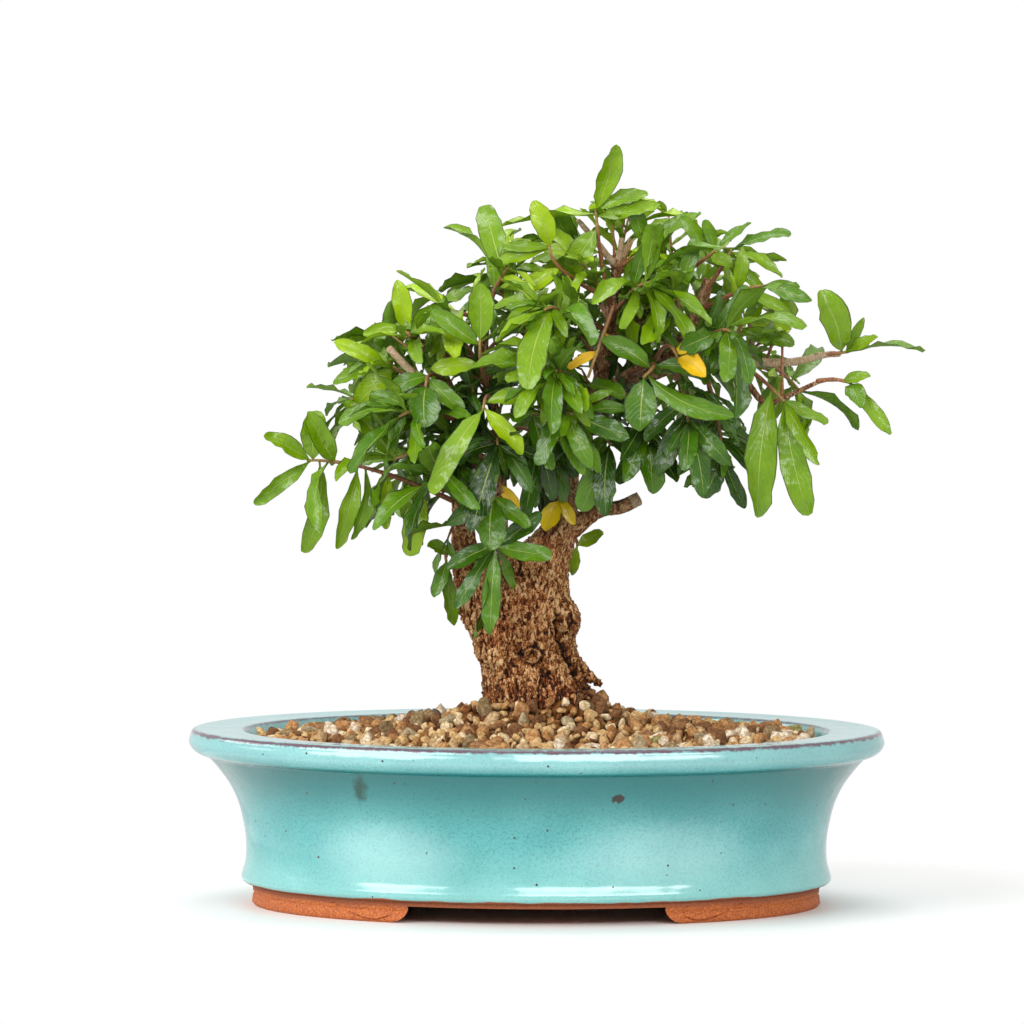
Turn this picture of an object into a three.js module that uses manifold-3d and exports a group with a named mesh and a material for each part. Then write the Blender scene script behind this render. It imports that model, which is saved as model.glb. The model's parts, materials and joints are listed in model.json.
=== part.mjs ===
// A pomegranate bonsai in an oval glazed pot.
// Millimetres, +Z up, the front of the tree towards -Y. The origin is the bottom centre of the whole.
//
// Sizes below are written about the middle of the pot, and the last lines move the group to its origin.
// A route or a leaf tip is given as x and z in the upright plane through the trunk, as seen from an eye
// 3 m in front, and y is its depth: place() carries it along the line of sight to that depth.

import * as THREE from "three";
import { mergeVertices } from "three/addons/utils/BufferGeometryUtils.js";
import Module from "manifold-3d";

const wasm = await Module();
wasm.setup();

// ---------------------------------------------------------------------------------- driving sizes

const GAP = 0.35; // air between two pieces that touch
const FINEST = 0.04; // detail under this, left where pieces are joined or cut, is smoothed away

// Pot
const POT_HALF_WIDTH = 130; // at the belly of the rim
const POT_OVAL = 0.79; // depth of the oval over its width
const POT_SIDES = 36;
const FOOT_HALF_WIDTH = 105.9;
const FOOT_WALL = 14;
const FOOT_HEIGHT = 6.3; // from the table to the underside of the floor
const FOOT_SUNK = 1.5; // how far the foot runs up into the floor
const FOOT_GAP_HALF = 47; // half the arch between the two feet, at the tips of their toes
// How a foot ends at the arch, from the table up: outwards from its tip, and height
const FOOT_TOE = [[9, -2], [5.4, 0.4], [2.4, 1.7], [0.4, 3.9], [0, 5.4]];
const FLOOR_TOP = 13;
const DRAIN_HOLE_X = 30;
const DRAIN_HOLE_RADIUS = 8;

// Drain screens
const SCREEN_SIDE = 25;
const SCREEN_THICK = 1.2;
const SCREEN_MESH = 5; // side of one opening
const SCREEN_PITCH = 7;

// Soil
const SOIL_EDGE_HEIGHT = 60; // where the grains meet the pot
const SOIL_HALF_WIDTH = 106;
const SOIL_MOUND = 12; // rise of the wide mound
const SOIL_MOUND_POWER = 1.3;
const SOIL_COLLAR = 15; // rise of the steep heap round the trunk
const SOIL_COLLAR_REACH = 0.42; // as a share of the soil's half width
const SOIL_COLLAR_POWER = 1.5;
const SOIL_MOUND_X = 2; // the mound stands about the trunk
const GRAIN_PITCH = 11;
const GRAIN_RISE = [2.4, 4.6]; // top of a grain over the joints round it
const GRAIN_STRAY = 1.5; // how far the top of a grain strays from its middle
const JOINT_STRAY = [1, 0.8]; // how far a corner of the joints strays, level and upright
const GRAIN_SEED = 7;

// Trunk
const TRUNK_SIDES = 14;
const BARK_RELIEF = 0.9;
const LIMB_SIDES = 5;
const THIN_LIMB_SIDES = 4;
const THIN_LIMB_RADIUS = 2; // a limb that starts thinner than this is a thin one
const LIMB_STEPS = 1.5; // rings of a limb for each span of its route

// Shoots and leaves
const EYE = new THREE.Vector3(0, -3000, 302.7);
const SHOOT_SIDES = 3;
const SHOOT_STEPS = 3;
const SHOOT_RADIUS = [1.3, 0.95]; // at its root and at its tip
const LEAF_THICK = 0.75;
const LEAF_START = 0.25; // how far from the axis of its shoot a leaf starts, inside the shoot
const LAST_LEAF = 0.97; // no leaf starts past this share of its shoot
const LEAF_SLENDER = 0.3; // width of a leaf over its length
const LEAF_ARCH = 0.07; // rise of the midrib over the chord, in leaf lengths
const LEAF_FOLD = 0.22; // rise of the edges over the midrib, in half widths
const LEAF_WAVE = 0.028; // of the edges, in leaf lengths
const LEAF_WAVES = 1.6; // how many waves an edge has
const LEAF_BELLY = 1.4; // a higher power puts the widest place nearer the tip
const LEAF_FULLNESS = 0.8; // a lower power makes the outline fuller
// Where a blade has points along it. The first has no rib, so a leaf leaves its shoot flat.
const LEAF_STATIONS = [0.32, 0.68];
const LARGE_LEAF_STATIONS = [0.24, 0.52, 0.8];
const LARGE_LEAF_WIDTH = 11.5;
const CLOSEST_POINTS = 0.004; // two points of one solid stay at least this far apart
const OWN_OVERLAP = 0.004; // share of a leaf that may run into others of its shoot

// ---------------------------------------------------------------------------------- small helpers

/** A repeatable draw: each call gives the next number from 0 to 1. */
function drawsFrom(seed) {
  let state = (seed * 2654435761) >>> 0;
  return () => {
    state = (state + 0x6d2b79f5) >>> 0;
    let t = Math.imul(state ^ (state >>> 15), state | 1);
    t ^= t + Math.imul(t ^ (t >>> 7), t | 61);
    return ((t ^ (t >>> 14)) >>> 0) / 4294967296;
  };
}

const degrees = THREE.MathUtils.degToRad;
const mix = THREE.MathUtils.lerp;
const vector = (x, y, z) => new THREE.Vector3(x, y, z);

/** The point at depth y that an eye in front sees at (x, z) of the plane through the trunk. */
function place([x, y, z]) {
  return vector(x, 0, z).sub(EYE).multiplyScalar((y - EYE.y) / -EYE.y).add(EYE);
}

/** The solid inside a closed geometry, with its faces turned out. */
function solidOf(geometry) {
  const bare = geometry.clone();
  for (const name of Object.keys(bare.attributes)) {
    if (name !== "position") bare.deleteAttribute(name);
  }
  const merged = mergeVertices(bare, 1e-4);
  const points = merged.attributes.position.array;
  const corners = merged.index.array;
  const faces = [];
  let volume = 0;
  const [a, b, c] = [vector(), vector(), vector()];
  for (let i = 0; i < corners.length; i += 3) {
    const [p, q, r] = corners.slice(i, i + 3);
    if (p === q || q === r || r === p) continue;
    faces.push(p, q, r);
    a.fromArray(points, 3 * p);
    b.fromArray(points, 3 * q);
    c.fromArray(points, 3 * r);
    volume += a.dot(b.cross(c));
  }
  if (volume < 0) faces.reverse();
  return new wasm.Manifold(
    new wasm.Mesh({
      numProp: 3,
      vertProperties: new Float32Array(points),
      triVerts: new Uint32Array(faces),
    }),
  );
}

/** A geometry from a list of points and a list of corner triples. */
function geometryOf(points, faces) {
  const geometry = new THREE.BufferGeometry();
  const values = points.flatMap((point) => point.toArray());
  geometry.setAttribute("position", new THREE.Float32BufferAttribute(values, 3));
  geometry.setIndex(faces.flat());
  return geometry;
}

/** A named mesh from a solid. */
function meshOf(name, solid, material) {
  const { vertProperties, triVerts } = solid.simplify(FINEST).getMesh();
  const geometry = new THREE.BufferGeometry();
  geometry.setAttribute("position", new THREE.BufferAttribute(new Float32Array(vertProperties), 3));
  geometry.setIndex(new THREE.BufferAttribute(new Uint32Array(triVerts), 1));
  geometry.computeVertexNormals();
  const mesh = new THREE.Mesh(geometry, material);
  mesh.name = name;
  return mesh;
}

/** The largest body of a solid, which drops the scraps that a cut leaves. */
function largestBody(solid) {
  return solid.decompose().reduce((best, body) => (body.volume() > best.volume() ? body : best));
}

/** An upright lathe solid from a profile of [radius, height], flattened to the pot's oval. */
function ovalTurned(profile, sides = POT_SIDES) {
  const points = profile.map(([radius, height]) => new THREE.Vector2(radius, height));
  const geometry = new THREE.LatheGeometry(points, sides);
  geometry.rotateX(degrees(90));
  geometry.scale(1, POT_OVAL, 1);
  return solidOf(geometry);
}

/** A solid through rings of equally many points, closed by a flat fan at each end. */
function lofted(rings) {
  const sides = rings[0].length;
  const points = rings.flat();
  const faces = [];
  for (let row = 0; row < rings.length - 1; row += 1) {
    for (let side = 0; side < sides; side += 1) {
      const next = (side + 1) % sides;
      const [a, b] = [row * sides + side, row * sides + next];
      faces.push([a, b, b + sides], [a, b + sides, a + sides]);
    }
  }
  for (const [row, turned] of [[0, true], [rings.length - 1, false]]) {
    const middle = points.length;
    const sum = rings[row].reduce((total, point) => total.add(point), vector(0, 0, 0));
    points.push(sum.divideScalar(sides));
    for (let side = 0; side < sides; side += 1) {
      const [a, b] = [row * sides + side, row * sides + ((side + 1) % sides)];
      faces.push(turned ? [middle, b, a] : [middle, a, b]);
    }
  }
  return solidOf(geometryOf(points, faces));
}

/** A round rod along a curve, whose radius at t is radiusAt(t). */
function rod(curve, steps, sides, radiusAt) {
  const rings = [];
  let across = null;
  for (let step = 0; step <= steps; step += 1) {
    const t = step / steps;
    const along = curve.getTangent(t);
    const guide = across ?? (Math.abs(along.z) < 0.9 ? vector(0, 0, 1) : vector(1, 0, 0));
    across = guide.clone().addScaledVector(along, -guide.dot(along)).normalize();
    const third = along.clone().cross(across);
    const centre = curve.getPoint(t);
    rings.push(
      Array.from({ length: sides }, (_, side) => {
        const angle = (side / sides) * 2 * Math.PI;
        return centre
          .clone()
          .addScaledVector(across, Math.cos(angle) * radiusAt(t))
          .addScaledVector(third, Math.sin(angle) * radiusAt(t));
      }),
    );
  }
  return lofted(rings);
}

// ------------------------------------------------------------------------------------------- pot

const POT_OUTSIDE = [
  [0, FOOT_HEIGHT],
  [106.2, FOOT_HEIGHT],
  [106.2, 8.3],
  [109.2, 9.2],
  [109.9, 12.5],
  [108.6, 21],
  [109.4, 30],
  [111.4, 38],
  [114.6, 45],
  [119.1, 51.2],
  [123.0, 55.6],
  [127.2, 57.1],
  [129.3, 59.2],
  [POT_HALF_WIDTH, 61.7],
  [129.2, 64.6],
  [127.2, 65.6],
  [111.8, 65.3],
  [108.5, 63.7],
];

const POT_INSIDE = [
  [106.6, 57],
  [105.6, 44],
  [102.6, 26],
  [100.2, 17],
  [95.0, FLOOR_TOP],
  [0, FLOOR_TOP],
];

/** One C-shaped foot at each end of the oval, with a toe at each side of the arch. */
function potFeet() {
  const plan = new THREE.Shape();
  plan.absellipse(0, 0, FOOT_HALF_WIDTH, FOOT_HALF_WIDTH * POT_OVAL, 0, 2 * Math.PI);
  const inner = new THREE.Path();
  const innerHalf = FOOT_HALF_WIDTH - FOOT_WALL;
  inner.absellipse(0, 0, innerHalf, FOOT_HALF_WIDTH * POT_OVAL - FOOT_WALL, 0, 2 * Math.PI);
  plan.holes.push(inner);
  const height = FOOT_HEIGHT + FOOT_SUNK;
  const ring = new THREE.ExtrudeGeometry(plan, {
    depth: height,
    bevelEnabled: false,
    curveSegments: POT_SIDES / 2,
  });

  const side = [...FOOT_TOE, [0, height + 1]].map(([out, z]) => new THREE.Vector2(FOOT_GAP_HALF + out, z));
  const otherSide = side.map(({ x, y }) => new THREE.Vector2(-x, y)).reverse();
  const arch = new THREE.Shape([...side, ...otherSide]);
  const cutter = new THREE.ExtrudeGeometry(arch, { depth: 2 * POT_HALF_WIDTH, bevelEnabled: false });
  cutter.rotateX(degrees(90));
  cutter.translate(0, POT_HALF_WIDTH, 0);
  return solidOf(ring).subtract(solidOf(cutter));
}

function drainHole(x) {
  const geometry = new THREE.CylinderGeometry(DRAIN_HOLE_RADIUS, DRAIN_HOLE_RADIUS, 2 * FLOOR_TOP, 16);
  geometry.rotateX(degrees(90));
  geometry.translate(x, 0, FLOOR_TOP);
  return solidOf(geometry);
}

function pot() {
  return ovalTurned([...POT_OUTSIDE, ...POT_INSIDE])
    .add(potFeet())
    .subtract(drainHole(-DRAIN_HOLE_X))
    .subtract(drainHole(DRAIN_HOLE_X));
}

function block(width, depth, height, x, y, z) {
  const geometry = new THREE.BoxGeometry(width, depth, height);
  geometry.translate(x, y, z);
  return solidOf(geometry);
}

/** A square of coarse plastic mesh lying over a drain hole. */
function drainScreen(x) {
  const middle = FLOOR_TOP + GAP + SCREEN_THICK / 2;
  const openings = [];
  for (let column = -1; column <= 1; column += 1) {
    for (let row = -1; row <= 1; row += 1) {
      const [across, back] = [x + column * SCREEN_PITCH, row * SCREEN_PITCH];
      openings.push(block(SCREEN_MESH, SCREEN_MESH, 2 * SCREEN_THICK, across, back, middle));
    }
  }
  const plate = block(SCREEN_SIDE, SCREEN_SIDE, SCREEN_THICK, x, 0, middle);
  return plate.subtract(wasm.Manifold.union(openings));
}

// ----------------------------------------------------------------------------------------- trunk

// The stump, from its root stock in the soil to where the leader leaves it:
// height, left edge, right edge, half depth.
const STUMP_ROWS = [
  [36, -9, 12, 9],
  [60, -14, 17, 13],
  [72, -18.5, 21.5, 17],
  [77.5, -19.5, 22.5, 18],
  [82, -19.6, 19.5, 17],
  [89, -21, 16, 16],
  [93, -23.4, 14.8, 16],
  [98, -24, 13.8, 16],
  [106, -28, 14, 16.5],
  [110, -29.3, 14.8, 17],
  [114, -30.3, 13, 17],
  [119, -30.5, 12.3, 16.5],
  [124, -28.5, 12, 15],
  [128, -21, 12.3, 13],
  [133, -9, 13, 10],
  [139, -1, 14.3, 8.5],
  [146, 5, 15, 6],
];
const PLAIN_BELOW = 74; // the root stock has no bark relief

// Limbs, stubs and dead twigs: a route of [x, depth, z, radius].
const LIMBS = {
  leader: [
    [7, 0, 134, 7], [10.8, 0, 148, 4.3], [12.4, 2, 164, 3.4], [15, 2, 177, 3.1], [22, 0, 192, 2.9],
    [26, -3, 211, 2.5], [28, -5, 228, 2.2], [29.5, -8, 240, 2.0],
  ],
  leader_tip_left: [[29, -8, 238, 1.6], [30.3, -9, 244, 1.3], [31.2, -10, 249.2, 1.0]],
  leader_tip_right: [[29, -8, 237, 1.6], [32.4, -8, 243, 1.2], [34.4, -8, 249, 0.9]],
  split_stub: [[29, -8, 238, 1.5], [22, -10, 247, 1.3], [14.4, -12, 256, 1.0]],
  left_branch: [
    [-23, -2, 114, 7.5], [-27, -2, 130, 5.2], [-28, -3, 148, 4], [-29, -4, 160, 3.6], [-29.3, -4, 168, 3.8],
  ],
  left_limb: [
    [-28, -3, 154, 3], [-23, -6, 172, 2.6], [-30, -12, 186, 2.3], [-38.6, -20, 204.5, 1.7],
    [-43.4, -22, 210.8, 1.2],
  ],
  left_limb_fork: [[-37, -19, 201, 1.5], [-33, -21, 207, 1.2], [-30, -22, 211.8, 1.0]],
  pale_left_stub: [[-30, -12, 187, 1.7], [-42, -30, 193.7, 1.5], [-56, -36, 208, 1.5]],
  inner_stem: [
    [-12, 3, 118, 6], [-13.5, 4, 136, 3.2], [-14, 3, 155, 2.7], [-14, 0, 172, 2.4], [-17, -6, 188, 2.1],
    [-20, -10, 205, 1.7], [-19, -12, 222, 1.3],
  ],
  back_limb: [[13, 2, 172, 2.6], [9, 18, 188, 2.3], [2, 36, 203, 1.8], [-6, 46, 216, 1.3]],
  back_left_limb: [[-13.8, 3, 158, 2.4], [-28, 18, 172, 2.2], [-46, 30, 184, 1.7], [-60, 36, 190, 1.3]],
  back_right_limb: [[22, 0, 190, 2.5], [38, 20, 196, 2.2], [56, 36, 202, 1.8], [74, 44, 204, 1.3]],
  right_limb: [
    [20, 0, 188, 2.9], [38, -8, 200, 2.6], [56, -12, 206.5, 2.4], [75, -11, 203.5, 2.0],
    [94, -13, 203, 1.6], [107, -15, 205.8, 1.3], [113, -15, 206, 1.1],
  ],
  dry_upright_twig: [[80, -12, 203.5, 1.5], [79.6, -13, 211, 1.1], [78.6, -14, 218.3, 0.9]],
  lower_right_twig: [
    [72, -11, 204, 1.6], [84, -18, 188, 1.3], [91, -22, 189.5, 1.1], [106.5, -24, 196.6, 0.9],
  ],
  upper_right_limb: [[26, -3, 208, 2.2], [40, -7, 222, 2.0], [51.7, -11, 236.4, 1.5], [62, -14, 250, 1.2]],
  dark_stub: [[50, -11, 204, 2.4], [60, -16, 223.5, 2.3], [63.6, -17, 234, 2.1]],
  cut_branch: [[12, 0, 140, 4.2], [22.5, -2, 147, 2.8], [31, -3, 148.7, 2.7], [38.2, -4, 152, 2.6]],
  root_spur: [[14, -3, 91, 3], [19.5, -4, 85, 2.2], [24.6, -5, 81.8, 0.8]],
};

// Callused places that stand out of the wood: centre and half sizes.
const KNOBS = [
  [[-29.3, -4, 167], [4.2, 4, 4]],
  [[11.6, -4, 106.5], [4.6, 7, 7]],
  [[-1.7, -14.5, 94], [3.4, 3, 3.4]],
  [[-18, -8, 121], [6, 6, 5]],
  [[29.4, -8, 240], [3, 2.6, 3.4]],
];

// The dark cleft that runs down the right of the stump: x, depth, z, radius.
const CLEFT = [[8.4, -16.6, 104, 1.4], [11, -15.4, 95, 2.4], [14.6, -14, 87, 2.2], [17.2, -13.6, 82, 1.4]];

/** The stump, larger all round by `more`. */
function stump(more) {
  const rings = STUMP_ROWS.map(([z, left, right, halfDepth]) => {
    const relief = z < PLAIN_BELOW ? 0 : BARK_RELIEF;
    const halfWidth = (right - left) / 2 + more;
    const middle = (right + left) / 2;
    return Array.from({ length: TRUNK_SIDES }, (_, side) => {
      const angle = (side / TRUNK_SIDES) * 2 * Math.PI;
      const bark = relief * (Math.sin(5 * angle + z / 7) + 0.6 * Math.sin(9 * angle - z / 4));
      const x = middle + Math.cos(angle) * (halfWidth + bark * 0.6);
      const y = Math.sin(angle) * (halfDepth + more + bark);
      return vector(x, y, z);
    });
  });
  rings[0] = rings[0].map((point) => point.setZ(point.z - more));
  return lofted(rings);
}

/** A tapering round limb through its route, larger all round by `more`. */
function limb(route, more = 0) {
  const sides = route[0][3] < THIN_LIMB_RADIUS ? THIN_LIMB_SIDES : LIMB_SIDES;
  const curve = new THREE.CatmullRomCurve3(route.map(place), false, "catmullrom");
  const spans = route.length - 1;
  const radiusAt = (t) => {
    const span = Math.min(Math.floor(t * spans), spans - 1);
    return mix(route[span][3], route[span + 1][3], t * spans - span) + more;
  };
  return rod(curve, sides === LIMB_SIDES ? Math.ceil(spans * LIMB_STEPS) : spans, sides, radiusAt);
}

function knob([centre, halfSizes], more = 0) {
  const geometry = new THREE.SphereGeometry(1, 7, 4);
  geometry.scale(...halfSizes.map((half) => half + more));
  geometry.translate(...place(centre).toArray());
  return solidOf(geometry);
}

/** All that grew as one piece of wood, larger all round by `more`. */
function wood(more = 0) {
  const pieces = Object.values(LIMBS).map((route) => limb(route, more));
  const knobs = KNOBS.map((shape) => knob(shape, more));
  return wasm.Manifold.union([stump(more).subtract(limb(CLEFT)), ...pieces, ...knobs]);
}

// ------------------------------------------------------------------------------------------ soil

/** Height of the soil's joints between grains, highest at the trunk. */
function moundHeight(x, y) {
  const away = Math.min(Math.hypot(x - SOIL_MOUND_X, y / POT_OVAL) / SOIL_HALF_WIDTH, 1);
  const collar = Math.max(0, 1 - away / SOIL_COLLAR_REACH) ** SOIL_COLLAR_POWER;
  return SOIL_EDGE_HEIGHT + SOIL_MOUND * (1 - away) ** SOIL_MOUND_POWER + SOIL_COLLAR * collar;
}

/** A block whose top is a layer of grains: each is a low six-sided peak over a honeycomb of joints. */
function grainBlock() {
  const draw = drawsFrom(GRAIN_SEED);
  const stray = (reach) => (2 * draw() - 1) * reach;
  const corners = new Map();
  const points = [];
  const faces = [];
  const cornerRadius = GRAIN_PITCH / Math.sqrt(3);
  const jointAt = (x, y) => {
    const key = `${Math.round((2 * x) / GRAIN_PITCH)},${Math.round((2 * y) / cornerRadius)}`;
    if (!corners.has(key)) {
      corners.set(key, points.length);
      const [level, upright] = JOINT_STRAY;
      points.push(vector(x + stray(level), y + stray(level), moundHeight(x, y) + stray(upright)));
    }
    return corners.get(key);
  };
  const rowPitch = cornerRadius * 1.5;
  const rows = Math.ceil((POT_HALF_WIDTH * POT_OVAL) / rowPitch);
  const columns = Math.ceil(POT_HALF_WIDTH / GRAIN_PITCH);
  for (let row = -rows; row <= rows; row += 1) {
    for (let column = -columns; column <= columns; column += 1) {
      const x = (column + (row % 2 ? 0.5 : 0)) * GRAIN_PITCH;
      const y = row * rowPitch;
      const ring = [0, 1, 2, 3, 4, 5].map((k) => {
        const angle = degrees(30 + 60 * k);
        return jointAt(x + cornerRadius * Math.cos(angle), y + cornerRadius * Math.sin(angle));
      });
      const top = points.length;
      const rise = mix(...GRAIN_RISE, draw());
      points.push(vector(x + stray(GRAIN_STRAY), y + stray(GRAIN_STRAY), moundHeight(x, y) + rise));
      ring.forEach((corner, k) => faces.push([top, corner, ring[(k + 1) % 6]]));
    }
  }
  return solidOf(walledDown(points, faces, 0));
}

/** Closes an open top sheet with upright walls and a flat bottom at height z. */
function walledDown(points, faces, z) {
  const count = points.length;
  const low = points.map((point) => vector(point.x, point.y, z));
  const edges = new Set(faces.flatMap(([a, b, c]) => [`${a},${b}`, `${b},${c}`, `${c},${a}`]));
  const walls = [];
  for (const edge of edges) {
    const [a, b] = edge.split(",").map(Number);
    if (!edges.has(`${b},${a}`)) walls.push([a, count + a, b], [b, count + a, count + b]);
  }
  const bottom = faces.map(([a, b, c]) => [count + a, count + c, count + b]);
  return geometryOf([...points, ...low], [...faces, ...bottom, ...walls]);
}

// The soil's side, just inside the pot's wall. Its upper end is cut by the layer of grains.
const SOIL_SIDE = [
  [0, 90],
  [106.4, 90],
  [106, 57.5],
  [99.6, 17.2],
  [94.4, FLOOR_TOP + GAP],
  [0, FLOOR_TOP + GAP],
];

function soil(screens) {
  const body = ovalTurned(SOIL_SIDE);
  const side = SCREEN_SIDE + 2 * GAP;
  const height = 2 * (SCREEN_THICK + 2 * GAP);
  const recesses = screens.map((x) => block(side, side, height, x, 0, FLOOR_TOP));
  return largestBody(
    body
      .intersect(grainBlock())
      .subtract(stump(GAP))
      .subtract(limb(LIMBS.root_spur, GAP))
      .subtract(wasm.Manifold.union(recesses)),
  );
}

// --------------------------------------------------------------------------------------- foliage

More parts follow.
